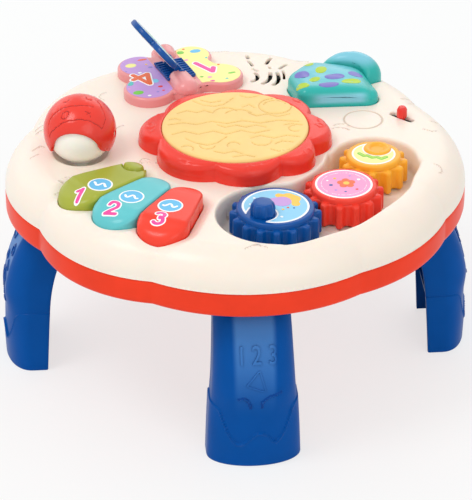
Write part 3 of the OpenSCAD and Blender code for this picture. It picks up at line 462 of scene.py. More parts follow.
class Piece:
    """Verts and faces of one visible piece, in mm, in the table's frame."""

    def __init__(self, name=""):
        self.name = name
        self.verts, self.faces, self.slots, self.mats = [], [], [], []

    def slot_of(self, mat):
        if mat not in self.mats:
            self.mats.append(mat)
        return self.mats.index(mat)

    def add(self, verts, faces, mat, flip=False):
        n, slot = len(self.verts), self.slot_of(mat)
        self.verts += [tuple(float(c) for c in v) for v in verts]
        for face in faces:
            ids = [int(i) + n for i in face]
            self.faces.append(ids[::-1] if flip else ids)
            self.slots.append(slot)
        return self

    def take(self, other, place, flip=False):
        """Adds another piece's faces, its verts moved by place."""
        verts = place(np.array(other.verts))
        for slot, mat in enumerate(other.mats):
            self.add(verts, [f for f, s in zip(other.faces, other.slots) if s == slot], mat, flip)
        return self

    def move(self, matrix):
        self.verts = [tuple(v) for v in placed(self.verts, matrix)]
        return self

    def loft(self, rings, mat, first=True, last=True):
        """Skin over rings of equal length, anticlockwise seen from the last ring's side."""
        n, top = len(rings[0]), len(rings) - 1
        faces = [(k * n + i, k * n + (i + 1) % n, (k + 1) * n + (i + 1) % n, (k + 1) * n + i)
                 for k in range(top) for i in range(n)]
        if first:
            faces.append(tuple(range(n))[::-1])
        if last:
            faces.append(tuple(top * n + i for i in range(n)))
        return self.add(np.vstack(rings), faces, mat)

    def wall(self, loop, low, high, mat, last=False):
        return self.loft([risen(loop, low), risen(loop, high)], mat, first=False, last=last)

    def lathe(self, at, profile, mat, n=64, ends=True, matrix=None):
        """A turned shape: profile is rows of radius and height."""
        place = matrix or shift(at)
        rings = [placed(circle_ring((0, 0), r, z, n), place) for r, z in profile]
        return self.loft(rings, mat, ends, ends)

    def painted(self, verts, faces, mat, paint):
        """Adds faces, each in the first material of paint whose flat shape its middle is in."""
        middle = np.asarray(verts)[faces][:, :, :2].mean(1)
        left = np.ones(len(faces), bool)
        for shape, colour in paint:
            inside = left & (shape(middle) < 0)
            self.add(verts, faces[inside], colour)
            left &= ~inside
        return self.add(verts, faces[left], mat)

    def plate(self, shape, box, height, base, mat, insets=(0, 0.2, 0.6, 1.2, 2), step=4.0,
              spacing=1.5, bottom=False, wall=None, paint=(), more=None, lines=()):
        """The region of a flat shape: top at height(points, inset), sides down to base."""
        rim = contours(shape, box, min(step, spacing * 1.2), 0.0, spacing)
        if not rim:
            return self
        loops = list(rim)
        for d in insets[1:]:
            loops += contours(shape, box, min(step, spacing * 1.2), -d, spacing)
        loops += [line for line in lines if (shape(line) < -0.3).all()]
        low = base if callable(base) else lambda p: base
        flat, faces = tiles(loops, lambda p: shape(p) < 0.01, box, step, more)
        self.painted(risen(flat, height(flat, depth_in(shape, flat))), faces, mat, paint)
        for loop in rim:
            self.wall(loop, low(loop), height(loop, depth_in(shape, loop)), wall or mat)
        if bottom:
            flat, faces = tiles(rim, lambda p: shape(p) < 0, box, NO_GRID)
            self.add(risen(flat, low(flat)), faces, wall or mat, flip=True)
        return self

    def decal(self, shape, box, height, ink, thick=0.3, step=4.0, spacing=0.8, edge=0.15):
        """A thin raised print on a surface, which is level or a function of places."""
        under = height if callable(height) else lambda p: np.full(len(p), float(height))
        return self.plate(shape, box, lambda p, d: under(p) + thick - round_drop(d, edge, edge), under,
                          INK[ink], insets=(0, edge), step=step, spacing=spacing)

    def spots(self, rows, z, at=(0, 0), thick=0.1, step=2, spacing=0.5, edge=0.15):
        """Printed dots: rows of x, y, radius and ink, placed from a middle."""
        for x, y, r, ink in rows:
            spot = (at[0] + x, at[1] + y)
            self.decal(disc(spot, r), around(spot, 8), z, ink, thick, step, spacing, edge)
        return self

    def done(self, body, nodes=(), slot=None, angle=38.0, weld=0.004, recalc=True, normals=None):
        """Makes the piece's object: it rides on a body and stands for CAD nodes."""
        mesh = bpy.data.meshes.new(self.name)
        mesh.from_pydata([tuple(c * MM for c in v) for v in self.verts], [], self.faces)
        mesh.polygons.foreach_set("material_index", self.slots)
        for mat in self.mats:
            mesh.materials.append(mat)
        ob = bpy.data.objects.new(self.name, mesh)
        bpy.context.scene.collection.objects.link(ob)
        bm = bmesh.new()
        bm.from_mesh(mesh)
        bmesh.ops.remove_doubles(bm, verts=bm.verts, dist=weld * MM)
        if recalc:
            bmesh.ops.recalc_face_normals(bm, faces=bm.faces)
        bm.to_mesh(mesh)
        bm.free()
        mesh.shade_smooth()
        mesh.set_sharp_from_angle(angle=math.radians(angle))
        if normals is not None:
            at = np.array([tuple(v.co) for v in mesh.vertices]) / MM
            mesh.normals_split_custom_set_from_vertices([tuple(n) for n in normals(at)])
        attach(ob, body)
        if nodes:
            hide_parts(*nodes)
        return ob


def depth_in(shape, p):
    """How deep inside a shape places are; the rim's own points count as on it."""
    d = -shape(p)
    return np.where(d < 0.03, 0.0, d)


def glyph(text, size, bolder, thick):
    """A number as verts and faces with its sides, centred on the origin."""
    curve = bpy.data.curves.new("glyph", "FONT")
    curve.body = text
    curve.size = size
    curve.align_x = curve.align_y = "CENTER"
    curve.offset = bolder
    curve.extrude = thick / 2
    curve.resolution_u = 6
    holder = bpy.data.objects.new("glyph", curve)
    bpy.context.scene.collection.objects.link(holder)
    bpy.context.view_layer.update()
    shape = bpy.data.meshes.new_from_object(holder.evaluated_get(bpy.context.evaluated_depsgraph_get()))
    verts = np.array([tuple(v.co) for v in shape.vertices])
    faces = [tuple(p.vertices) for p in shape.polygons]
    bpy.data.objects.remove(holder)
    bpy.data.curves.remove(curve)
    bpy.data.meshes.remove(shape)
    verts[:, 2] += thick / 2
    return verts, faces


# ---------------------------------------------------------------- sizes shared by the pieces (mm)

BASE_Z, BAND_TOP, DECK = 130.0, 150.5, 178.5
TABLE_R, EDGE_W, COVER_H = 181.5, 28.0, 28.0
TABLE_LOBES = [[44, 22, 1.5, 9.5], [89, 23, 0.5, 9.5], [135, 23, 1.5, 9.5], [181.5, 23.5, 1, 10],
               [226, 21, 2, 9.7], [273.5, 26.5, 0, 6.5], [314, 14, 3, 4.7], [355, 27, 1, 7.5]]
KEY_DIRS = [210.0, 226.3, 242.6]
KEY_IN, KEY_OUT, KEY_HALF = 100.0, 140.0, 8.15
SLIDE_GAP, PLUNGER_LOW = 0.4, 158.2
RIM_N = 540                     # places round the table and the drum
BLUE_AT, RED_AT, YELLOW_AT = (21.5, -107.0), (76.463, -77.775), (104.893, -31.924)
BALL_AT, BALL_Z, DISH_R = (-121.0, -3.7), 198.5, 29.0
HILL_CORNERS = [[63, 65, 8.5], [110, 66.5, 10.5], [98, 86, 17], [74, 95, 15], [61, 87, 11]]
DOME_AT, DOME_SIZE = (101, 106), (27, 16.7)
ENGRAVED = ((104.5, 32.5), 15.2)
SLOT_MID, SLOT_DIR, SLOT_LEN, SLOT_W = (135.6, 33.8), -44.6, 22.0, 5.0
RECESS_FLOOR, WELL_Z, SHELL = 158.5, 164.6, 2.5
BAND_INSET, DOOR_SEAT_Z, SOCKET_Z = 9, 132.3, 136.0


def lobed_radius(theta, lobes):
    """Outermost of the lobes' arcs; a lobe is direction, half angle, peak and notch radius."""
    best = np.zeros(np.shape(theta))
    for way, half, peak, notch in lobes:
        away = (peak ** 2 - notch ** 2) / (2 * (peak - notch * math.cos(math.radians(half))))
        t = theta - math.radians(way)
        side = away * np.sin(t)
        reach = away * np.cos(t) + np.sqrt(np.maximum((peak - away) ** 2 - side ** 2, 0))
        best = np.maximum(best, np.where(np.cos(t) > 0, reach, 0))
    return best


def table_radius(theta):
    return lobed_radius(theta, [[a, h, TABLE_R - p, TABLE_R - n] for a, h, p, n in TABLE_LOBES])


def table_inset(p):
    return table_radius(np.arctan2(p[:, 1], p[:, 0])) - radius_of(p)


def table_ring(inset, z=0.0):
    return circle_ring((0, 0), table_radius(np.arange(RIM_N) * TAU / RIM_N) - inset, z, RIM_N)


def key_shape(i):
    way, s = KEY_DIRS[i], math.sin(math.radians(KEY_HALF))
    body = slug(polar(KEY_IN, way), KEY_IN * s - 0.2, polar(KEY_OUT, way), KEY_OUT * s - 0.2)
    if i == 0:
        body = union(body, disc(polar(92.2, way - 1), 8.7))
    return body


def hull_shape(circles):
    parts = [slug(a[:2], a[2], b[:2], b[2]) for a, b in zip(circles, circles[1:] + circles[:1])]
    return union(*parts, polygon([c[:2] for c in circles]))


key_holes = grow(union(*[key_shape(i) for i in range(3)]), SLIDE_GAP)
hill_shape = hull_shape(HILL_CORNERS)
dome_shape = oval(DOME_AT, *DOME_SIZE)
button_hole = grow(union(hill_shape, dome_shape), SLIDE_GAP)


def recess_shape(p):
    """The trough the three gears lie in: round ends joined by a band round the table's middle."""
    r = radius_of(p)
    theta = np.degrees(np.arctan2(p[:, 1], p[:, 0]))
    lo, hi = math.degrees(math.atan2(*BLUE_AT[::-1])), math.degrees(math.atan2(*YELLOW_AT[::-1]))
    mid = math.hypot(*RED_AT)
    reach = mid + 36.25 + np.interp(theta, [-82, -76, -58, -46, -32, hi - 8, hi],
                                    [9, 9, 8.5, 4.5, 3.5, 0, -2.4])
    band = np.maximum(r - reach, (mid - 33.75) - r)
    band = np.maximum(band, np.maximum(lo - theta, theta - hi) * 1.6)
    ends = union(disc((20.0, -111.0), 43.4), disc((105.9, -31.4), 33.1))(p)
    h = np.clip(0.5 + 0.5 * (band - ends) / 9.0, 0, 1)
    return band * (1 - h) + ends * h - 9.0 * h * (1 - h)


speaker_slots = [polyline(points, half=half) for half, points in (
    # curved ribs of the speaker grille
    (1.5, [(22.5, 150.4), (23, 146.6)]), (1.3, [(22.8, 141), (24.2, 137.8), (25.4, 133.1)]),
    (1.1, [(25.1, 126.9), (28.6, 123.3)]), (1.5, [(41.6, 145), (39.4, 141.7), (37, 135.6)]),
    (1.1, [(38.8, 129.1), (39.4, 127)]), (1.3, [(53, 132), (49.8, 129), (47, 125.8)]),
    (1.6, [(26.8, 119.4), (27.9, 115), (27.6, 111), (26.2, 107.8), (22.7, 105.1)]),
    (1.7, [(38.7, 118.4), (38.4, 114), (37.3, 109), (34.5, 103.6), (31, 100.8)]),
    (1.6, [(44.4, 118.2), (44.9, 113), (44.5, 107.5), (42.6, 101.5), (39.6, 98)]),
    (1.0, [(49.3, 121.2), (49.7, 115), (48.9, 107.5)]))]
slot_ends = [polar(end * (SLOT_LEN - SLOT_W) / 2, SLOT_DIR, SLOT_MID) for end in (-1, 1)]
switch_hole = slug(slot_ends[0], SLOT_W / 2 + SLIDE_GAP, slot_ends[1], SLOT_W / 2 + SLIDE_GAP)
holes = [key_holes, button_hole, switch_hole, disc((0, 0), 8.0)] + speaker_slots
gear_bores = [disc(at, 4.56) for at in (BLUE_AT, RED_AT, YELLOW_AT)]


# ---------------------------------------------------------------- top cover

def strokes_of(*rows):
    """Line marks: each row is half a width and the lines that have it."""
    lines = [polyline(points, half=half) for half, *group in rows for points in group]
    return lambda p: np.min([line(p) for line in lines], axis=0)


def arc(x, y, r, start, end, n=7):
    return [polar(r, start + (end - start) * k / (n - 1), (x, y)) for k in range(n)]


marks = strokes_of(
    # sprays of short strokes, rings and chevrons moulded in the deck
    (0.7, arc(-146, 28, 9, 60, 170), arc(-141, 33, 15, 75, 160), [(-158, 3), (-152, 9), (-149, 7)],
     [(-160, -8), (-154, -4)], [(-92, 33), (-86, 38)]),
    (0.9, arc(-100, 38, 4.5, 20, 250)),
    (0.6, arc(-72, -22, 4, 30, 330), [(-64, -26), (-60, -19)],
     [(-140, -47), (-133, -42), (-127, -47), (-134, -52), (-140, -47)], [(-143, -62), (-137, -58)],
     arc(86, 18, 8, 20, 140), arc(83, 10, 10, 35, 120), [(144, 58), (149, 63), (155, 60)],
     [(139, 66), (146, 71), (153, 68)], arc(162, 22, 7, 20, 130), [(150, 12), (156, 8), (161, 11)],
     arc(4, -133, 5, 200, 340), [(-14, -86), (-9, -82), (-4, -86)], [(-6, -160), (2, -156), (10, -160)],
     arc(150, -50, 6, -60, 80), arc(-95, 88, 7, 100, 240), [(-110, 76), (-104, 82), (-106, 90)],
     arc(66, 138, 6, 0, 130), [(-8, 166), (0, 162), (8, 166)]))
STROKE_DIGITS = {
    "1": [(-0.2, 0.27), (0.06, 0.5), (0.06, -0.5)],
    "2": arc(0, 0.2, 0.3, 165, -15, 9) + [(-0.32, -0.48), (0.34, -0.48)],
    "3": arc(0, 0.24, 0.26, 150, -80, 9) + arc(0, -0.22, 0.29, 80, -150, 10),
    "4": [(0.38, -0.2), (-0.38, -0.2), (0.12, 0.5), (0.12, -0.5)]}


def stroke_digit(text, at, size, turn, half):
    """A digit drawn as one round-ended stroke, turned and in place."""
    return polyline([turned(x * size, y * size, turn, at) for x, y in STROKE_DIGITS[text]], half=half)


def engraved(p):
    return np.abs(disc(*ENGRAVED)(p)) - 0.65


def cover_z(p):
    edge = np.clip(table_inset(p) / EDGE_W, 0, 1)
    z = BAND_TOP + COVER_H * np.sqrt(np.maximum(1 - (1 - edge) ** 2, 0))
    keys = key_holes(p)
    inner = smooth(168, 140, radius_of(p))
    z = z - 3.4 * (1 - smooth(0.5, 9.5, keys)) * (0.35 + 0.65 * inner)
    z = z - round_drop(keys, 1.0, 1.0) - round_drop(button_hole(p), 1.2, 1.2)
    bowl = disc(BALL_AT, 0)(p)
    dish = BALL_Z - np.sqrt(np.maximum(DISH_R ** 2 - bowl ** 2, 1.0))
    z = np.where(bowl < 26, np.minimum(z - round_drop(bowl - 21.0, 2.0, 0.8), dish), z)
    z = z + 0.5 * (1 - smooth(-0.1, 0.35, marks(p))) * smooth(2, 8, table_inset(p))
    z = z - 0.8 * (1 - smooth(-0.3, 0.35, engraved(p)))
    z = z - round_drop(switch_hole(p), 0.8, 0.8)
    for slot in speaker_slots:
        z = z - round_drop(slot(p), 0.7, 0.7)
    trough = recess_shape(p)
    wall = np.interp(-trough, [-2.6, -1.7, -0.9, -0.3, 0, 0.5, 1.1, 1.6, 2.2, 3.0, 4.2],
                     [0.0, 0.15, 0.75, 1.9, 3.0, 10.0, 16.5, 18.4, 19.3, 19.8, 20.0])
    return z - wall


cover = Piece("cover")
everywhere = (-182, -182, 182, 182)
# shape, its box, spacing of the places along it, and the distances at which edges follow it
levels = [(key_holes, (-175, -165, -20, -20), 1.6, [0, 0.5, 1.2, 2.6, 4.6, 6.8, 9.5]),
          (button_hole, (40, 45, 140, 135), 1.8, [0, 0.5, 1.3, 2.2]),
          (switch_hole, (120, 18, 150, 50), 0.9, [0, 0.4, 0.9, 1.8]),
          (disc(BALL_AT, 21), around(BALL_AT, 28), 1.8, [-6, -2, 0, 0.6, 1.2, 2.2]),
          (recess_shape, (-26, -156, 146, 10), 1.7,
           [-7, -4.2, -3, -2.2, -1.6, -1.1, -0.5, 0, 0.3, 0.9, 1.7, 2.8, 4.6]),
          (disc(*ENGRAVED), around(ENGRAVED[0], 20), 1.4, [-1.3, -0.7, -0.3, 0.3, 0.7, 1.3]),
          (disc((0, 0), 8), (-12, -12, 12, 12), 1.6, [0])]
levels += [(slot, (10, 90, 64, 162), 0.7, [0, 0.35, 0.8]) for slot in speaker_slots]
levels += [(bore, everywhere, 1.2, [0]) for bore in gear_bores]
loops = []
for shape, area, spacing, steps in levels:
    others = [h for h in holes if h is not shape]
    for level in steps:
        for loop in contours(shape, area, min(spacing, 1.5), level, spacing):
            clear = np.min([h(loop) for h in others], axis=0) > 0.3
            if clear.all() and (table_inset(loop) > 0.5).all():
                loops.append(loop)
rim_points = []
for inset in (0, 0.15, 0.6, 1.4, 2.6, 4.2, 6.2, 8.8, 11.5, 14.5, 18, 21.5, 25, 28):
    ring = table_ring(inset)[:, :2]
    if inset < 9:
        loops.append(ring[::1 if inset < 1 else 2])
    else:
        ring = ring[::4]
        rim_points.append(ring[(key_holes(ring) > 10) & (button_hole(ring) > 3) & (recess_shape(ring) > 5.5)])
mark_points = np.array([(x, y) for x in np.arange(-172, 172, 1.1) for y in np.arange(-172, 172, 1.1)])
near = (np.abs(marks(mark_points)) < 1.4) & (recess_shape(mark_points) > 3) & (key_holes(mark_points) > 2)


def cover_area(p):
    solid = table_inset(p) > -0.12
    for hole in holes + gear_bores:
        solid &= hole(p) > -0.02
    return solid


flat, faces = tiles(loops, cover_area, everywhere, 4.2, more=np.vstack([mark_points[near]] + rim_points))
# the moulded marks and the engraved ring get the darker cream: painted shade
cover.painted(risen(flat, cover_z(flat)), faces, CREAM,
              [(grow(marks, -0.1), CREAM_PAINTED_SHADE), (engraved, CREAM_PAINTED_SHADE)])
for hole, area, spacing, _ in levels[:3] + levels[6:]:
    for loop in contours(hole, area, min(spacing, 1.5), 0, spacing):
        top = cover_z(loop)
        cover.wall(loop, top, WELL_Z if hole in (key_holes, button_hole) else top - SHELL, CREAM)
rings = [table_ring(inset, z) for inset, z in ((0, BAND_TOP), (SHELL, BAND_TOP), (SHELL, 158))]
cover.loft(rings, CREAM, first=False, last=False)


def cover_normals(v):
    """The moulded surface's own normals, and none (the mesh's) along its cut edges."""
    p = v[:, :2]
    step = 0.15
    dx = (cover_z(p + [step, 0]) - cover_z(p - [step, 0])) / (2 * step)
    dy = (cover_z(p + [0, step]) - cover_z(p - [0, step])) / (2 * step)
    n = np.column_stack([-dx, -dy, np.ones(len(p))])
    n /= np.linalg.norm(n, axis=1)[:, None]
    clear = (np.abs(v[:, 2] - cover_z(p)) < 0.02) & (table_inset(p) > 0.3)
    for hole in holes + gear_bores:
        clear &= hole(p) > 0.3
    return n * clear[:, None]


cover.done("table", ["top_cover"], "cream_shell", angle=50, recalc=False, normals=cover_normals)


# ---------------------------------------------------------------- base

base = Piece("base")
band_rows = [(BAND_INSET, BASE_Z), (5, 130), (2.6, 130.1), (1.3, 130.7), (0.5, 131.8), (0.1, 133.4), (0, 136),
             (0, 146.5), (0.15, 148.6), (0.6, 149.8), (1.4, 150.4), (2.8, 150.5)]
base.loft([table_ring(i, z) for i, z in band_rows], BAND, first=False, last=False)
post_holes = [disc(polar(160, a), 2.95) for a in (24, 66, 114, 156, 191, 259, 309, 339)]


def box_shape(at, size, corner=0.0, turn=0.0):
    def f(p):
        x, y = [np.abs(v) - side / 2 + corner for v, side in zip(seen_from(p, at, turn), size)]
        return np.hypot(np.maximum(x, 0), np.maximum(y, 0)) + np.minimum(np.maximum(x, y), 0) - corner
    return f


leg_sockets = [box_shape(polar(142, a), (8.4, 36.4), 1, a) for a in (270, 0, 90, 180)]
DOOR_AT = (0, 65)
door_seat = box_shape(DOOR_AT, (69.4, 55.7), 3)
under_holes = post_holes + leg_sockets + [door_seat]
under_marks = strokes_of(
    (0.6, *[[polar(150, a), polar(168, a)] for a in (40, 50, 130, 140, 216, 226, 292, 324)],
     *[arc(0, 0, r, 200, 340, 40) for r in (104, 110)]))


def under_z(p):
    z = np.full(len(p), BASE_Z)
    for hole in under_holes:
        z = z + round_drop(hole(p), 0.6, 0.6)
    return z + 0.6 * (1 - smooth(-0.3, 0.4, under_marks(p)))


loops = [table_ring(BAND_INSET)[:, :2]]
for hole in under_holes:
    for level in (0, 0.3, 0.7):
        loops += contours(hole, everywhere, 1.2, level, 1.4)
more = mark_points[np.abs(under_marks(mark_points)) < 1.3]
flat, faces = tiles(
    loops, lambda p: (table_inset(p) > BAND_INSET) & (np.min([h(p) for h in under_holes], 0) > 0),
    everywhere, 9.0, more=more)
base.add(risen(flat, under_z(flat)), faces, BAND, flip=True)
for hole in under_holes:
    for loop in contours(hole, everywhere, 1.2, 0, 1.4):
        base.wall(loop, under_z(loop), DOOR_SEAT_Z if hole is door_seat else SOCKET_Z, BAND, last=True)
base.done("table", ["base_shell"], "red_base", angle=40, recalc=False)

door = Piece("battery_door_cover")
door_shape = cut(box_shape(DOOR_AT, (68.8, 55.1), 3), disc((0, 39.85), 2.4))
door_ribs = strokes_of((0.7, *[[(-22, 65 + k), (22, 65 + k)] for k in (-14, -7, 0, 7, 14)]),
                       (0.8, [(-6, 88), (0, 84), (6, 88)]))


def door_z(p):
    return BASE_Z + 0.15 + round_drop(-door_shape(p), 0.5, 0.5) + 0.5 * (1 - smooth(-0.3, 0.4, door_ribs(p)))


rim = contours(door_shape, everywhere, 1.0, 0, 1.2)
more = mark_points[np.abs(door_ribs(mark_points)) < 1.4]
flat, faces = tiles(rim + contours(door_shape, everywhere, 1.0, -0.6, 1.2), lambda p: door_shape(p) < 0,
                    (-40, 30, 40, 100), 6.0, more=more)
door.add(risen(flat, door_z(flat)), faces, BAND, flip=True)
for loop in rim:
    door.wall(loop, door_z(loop), 132.0, BAND)
door.done("table", ["battery_door"], "red_base", recalc=False)


# ---------------------------------------------------------------- legs

# rows of height, inner face, outer face and half width
LEG_TABLE = np.array([
    (0, 152.2, 183.8, 35.2), (25.5, 150.8, 184.7, 34.2), (49, 149.3, 184.2, 33.0), (64.5, 147.8, 184, 31.8),
    (78.3, 145.2, 181.4, 31.1), (91.3, 141.5, 177.4, 30.5), (103.7, 138, 172.2, 30),
    (113.7, 135, 166.4, 29.6), (122.1, 133, 159.5, 29.2), (129, 132, 152, 29)])
FLAT_HALF, LEG_WALL = 15.5, 2.9
CUFF_U = [-33, -29, -26.5, -24, -21, -18, -14.5, -10.5, -7, -3, 1, 5, 9, 12, 15, 18.5, 22, 25, 27.5, 30, 33]
CUFF_Z = [51, 50, 48, 39, 30, 25, 20.5, 20, 22.5, 27, 30.3, 30.5, 28, 24, 20.5, 24, 29.5, 38, 46, 50, 51]


def spline(table, z):
    """The table's values (all but the first of a row) at height z, smooth between its rows."""
    zs, end = table[:, 0], len(table) - 1
    k = int(np.clip(np.searchsorted(zs, z) - 1, 0, end - 1))
    h = zs[k + 1] - zs[k]
    t = (z - zs[k]) / h
    m = [(table[min(i + 1, end)] - table[max(i - 1, 0)]) / (zs[min(i + 1, end)] - zs[max(i - 1, 0)])
         for i in (k, k + 1)]
    return ((2 * t ** 3 - 3 * t ** 2 + 1) * table[k] + (t ** 3 - 2 * t ** 2 + t) * h * m[0]
            + (-2 * t ** 3 + 3 * t ** 2) * table[k + 1] + (t ** 3 - t ** 2) * h * m[1])[1:]


def cuff_top(u):
    """Height of the cuff's edge over the leg's width: level at the sides, scooped across the front."""
    return np.interp(u, CUFF_U, CUFF_Z)


front_marks = strokes_of(
    (0.8, [(-12.5, 60.6), (-9, 61.2), (-6, 59.3), (-4.3, 56), (-3.8, 52.8)],
     [(4.6, 53), (5.3, 57.5), (8, 60.2), (12.1, 62.5), (18.9, 65)]))
oval_marks = strokes_of(
    (0.9, arc(-8, 104, 5, 0, 360, 14), arc(8, 96, 4, 0, 360, 12), arc(-7, 84, 3, 0, 360, 10),
     [(-10, 72), (0, 75), (9, 70), (4, 62), (-7, 62), (-10, 72)]),
    (1.0, [(4, 84), (11, 80)]),
    (0.8, [(-14, 52), (-8, 55), (-4, 50)], [(5, 51), (9, 56), (14, 54)]))


def leg_section(z, count=96):
    """Points of the leg's outside at height z, in its own frame: +X outwards, from -Y to +Y."""
    inner, out, half = spline(LEG_TABLE, z)
    bow = min(19, (out - inner) * 0.75)
    face = smooth(36, 66, z)
    a = np.radians(np.linspace(-90, 90, count))
    u = half * np.sin(a)
    ellipse = out - bow + bow * np.cos(a)
    t = np.clip((np.abs(u) - FLAT_HALF) / (half - FLAT_HALF), 0, 1)
    flat_x = out - 3.2 * t - (bow - 3.2) * (1 - np.sqrt(np.maximum(1 - t * t, 0)))
    x = ellipse * (1 - face) + flat_x * face
    return np.stack([x, u], -1), inner, half


def leg_outside(z, marks_of):
    pts, inner, half = leg_section(z)
    over = z - cuff_top(pts[:, 1])
    cuff = smooth(0.35, -0.35, over) + 0.8 * np.exp(-((over + 0.7) / 0.8) ** 2) * smooth(50, 44, z)
    mark = 1 - smooth(-0.45, 0.35, marks_of(risen(pts[:, 1:], z)))
    relief = cuff + 1.2 * mark * smooth(150, 157, pts[:, 0])
    pts = pts + right_of(np.gradient(pts, axis=0)) * relief[:, None]
    ends = []
    for sign, edge in ((-1, pts[0]), (1, pts[-1])):
        y = sign * (half + 1.1 * smooth(51.5, 50.5, z))
        start = inner + 1.5
        row = [(inner + 0.25, y - sign), (inner + 0.75, y - sign * 0.3)]
        row += [(start + (edge[0] - start) * s, y) for s in np.linspace(0, 1, 9)[:-1]]
        ends.append(np.array(row[::-sign]))
    return np.vstack([ends[0], pts, ends[1]]), inner, half


def leg(name, way, marks_of, digits=True):
    """A hollow leg: its skin, two shelves inside, the tongue in its socket and the raised digits."""
    piece = Piece(f"leg_{name}_cover")
    heights = sorted(set([0, 0.35, 1.0, 2.0] + list(np.arange(3.2, 17, 2)) + list(np.arange(17, 110, 0.65))
                         + list(np.arange(110, 128, 1.3)) + [50.5, 50.8, 51.2, 51.5, 129.9]))
    rings = []
    for z in heights:
        outer, inner, half = leg_outside(z, marks_of)
        tuck = round_drop(z, 1.0, 0.9)
        mid = np.array([(inner + 170) / 2, 0])
        outer = outer - tuck * (outer - mid) / np.hypot(*(outer - mid).T)[:, None]
        inside = outer - right_of(np.gradient(outer, axis=0)) * 3.0
        lip = half - LEG_WALL + 0.5
        inside[:2] = (inner + 0.25, -lip), (inner + 0.6, 0.5 - lip)
        inside[-2:] = (inner + 0.6, lip - 0.5), (inner + 0.25, lip)
        inside[:, 1] = np.clip(inside[:, 1], -lip, lip)
        rings.append(risen(np.vstack([outer, inside[::-1]]), z))
    piece.loft(rings, LEG)
    # painted shade: faces along the sides of the marks get the darker blue
    painted_shade_slot = piece.slot_of(LEG_PAINTED_SHADE)
    skin = [k for k, face in enumerate(piece.faces) if len(face) == 4]
    middle = np.array(piece.verts)[[piece.faces[k] for k in skin]].mean(1)
    flank = (middle[:, 0] > 150) & (np.abs(np.abs(marks_of(middle[:, 1:]) + 0.05) - 0.3) < 0.3)
    for k in np.array(skin)[flank]:
        piece.slots[k] = painted_shade_slot
    for z, depth in ((126.5, 0.0), (38.0, 3.0)):
        section, inner, half = leg_section(z, 30)
        shelf = np.vstack([[[inner + depth, -half + 2]], section * [1, 0.92] - [2.6, 0],
                           [[inner + depth, half - 2]]])
        piece.loft([risen(shelf, z), risen(shelf, z + 1.8)], LEG)
    piece.loft([np.array([(142 + x * 4, y * 18, z) for x, y in ((-1, -1), (1, -1), (1, 1), (-1, 1))])
                for z in (129.9, 144.0, 145.8)], LEG, first=False)
    if digits:
        for text, u in (("1", -10.2), ("2", 1.2), ("3", 13.6)):
            verts, faces = glyph(text, 19.5, 0.12, 1.5)
            sides = [f for f in faces if len(set(round(verts[i][2], 3) for i in f)) > 1]
            verts = on_leg(verts * [0.8, 1, 1], u, 93.5)
            piece.add(verts, [f for f in faces if f not in sides], LEG)
            # painted shade: the digits' sides in the darker blue
            piece.add(verts, sides, LEG_PAINTED_SHADE)
        ring = rounded([(-6.8, 71.4), (7.9, 65.8), (3.3, 83.1)], 1.6)
        flat = Piece()
        # painted shade: the triangle's sides in the darker blue
        flat.plate(cut(grow(polygon(ring), 0.65), grow(polygon(ring), -0.65)), (-14, 60, 14, 90),
                   lambda p, d: 1.1 - round_drop(d, 0.3, 0.3), -0.3, LEG, insets=(0, 0.3), step=3,
                   spacing=0.7, wall=LEG_PAINTED_SHADE)
        piece.take(flat, lambda verts: on_leg(verts, 0, 0))
    piece.move(spin(way))
    piece.done("table", [f"leg_{name}"], "blue_leg", angle=32, weld=0.02)


def on_leg(verts, u, z):
    """Lays flat verts (width, height, thickness) on the leg's front face."""
    out = []
    for x, y, t in verts:
        at, above = [np.interp(u + x, *leg_section(z + y + up)[0].T[::-1]) for up in (0, 1)]
        lean = above - at
        n = np.array([1, -lean]) / math.hypot(1, lean)
        out.append((at + n[0] * (t - 0.35), u + x, z + y + n[1] * (t - 0.35)))
    return np.array(out)


def rounded(points, r):
    """A polygon's points with its corners rounded."""
    pts = np.array(points, float)
    out = []
    for prev, at, after in zip(np.roll(pts, 1, 0), pts, np.roll(pts, -1, 0)):
        a, b = (prev - at) / np.hypot(*(prev - at)), (after - at) / np.hypot(*(after - at))
        for t in np.linspace(0, 1, 6):
            p, q = at + a * r * (1 - t), at + b * r * t
            out.append(p * (1 - t) + q * t)
    return out


leg("front", 270, front_marks)
leg("left", 180, oval_marks, digits=False)
leg("right", 0, front_marks)
leg("back", 90, oval_marks, digits=False)


# ---------------------------------------------------------------- drum

RIM_TOP, RIM_LEAST, PAD_TOP, PAD_LOW, PAD_R, BORE_R = 193.5, 61.1, 195.5, 186.5, 57.3, 57.6
RIM_LOBES = [[358, 21, 76, 65], [40.5, 21.5, 75, 64.5], [79.5, 17.5, 70, 62.5], [123.5, 26.5, 70.5, 62.5],
             [171, 21, 76, 64.5], [221, 29, 71, 63], [275.5, 25.5, 69.5, 62], [319, 18, 71.5, 64]]
rim_marks = strokes_of(
    (0.7, arc(-66, 10, 3.6, 0, 360, 12), [(66, -3), (71, -1), (67, 3), (63, 1), (66, -3)]),
    (0.6, [(-70, 3), (-66, -1), (-63, 3)], [(-48, -47), (-43, -49), (-39, -54)],
     arc(-46, -52, 3.4, 180, 330), [(2, -65), (6, -62), (10, -64), (15, -61)], arc(8, -66, 3, 190, 350),
     arc(54, -42, 4, 200, 20), [(50, -47), (54, -44)], arc(69, 8, 3, 20, 200),
     arc(54, 44, 3.6, 0, 300, 10), [(-58, 28), (-62, 31), (-57, 34)]))


def rim_radius(theta):
    return np.maximum(lobed_radius(theta, RIM_LOBES), RIM_LEAST)


def rim_z(p):
    p = p[:, :2]
    r, out = radius_of(p), rim_radius(np.arctan2(p[:, 1], p[:, 0]))
    t = (r - BORE_R) / (out - BORE_R)
    lobe = np.clip((out - 62) / 13, 0, 1)
    z = RIM_TOP - 1.2 * lobe * smooth(0.1, 0.55, t) - round_drop(out - r, 4.0 + 2.4 * lobe, 5.2 + 3.0 * lobe)
    z = z - round_drop(r - BORE_R, 0.7, 0.7)
    return z + 0.45 * (1 - smooth(-0.3, 0.45, rim_marks(p))) * smooth(0.5, 2.0, out - r)


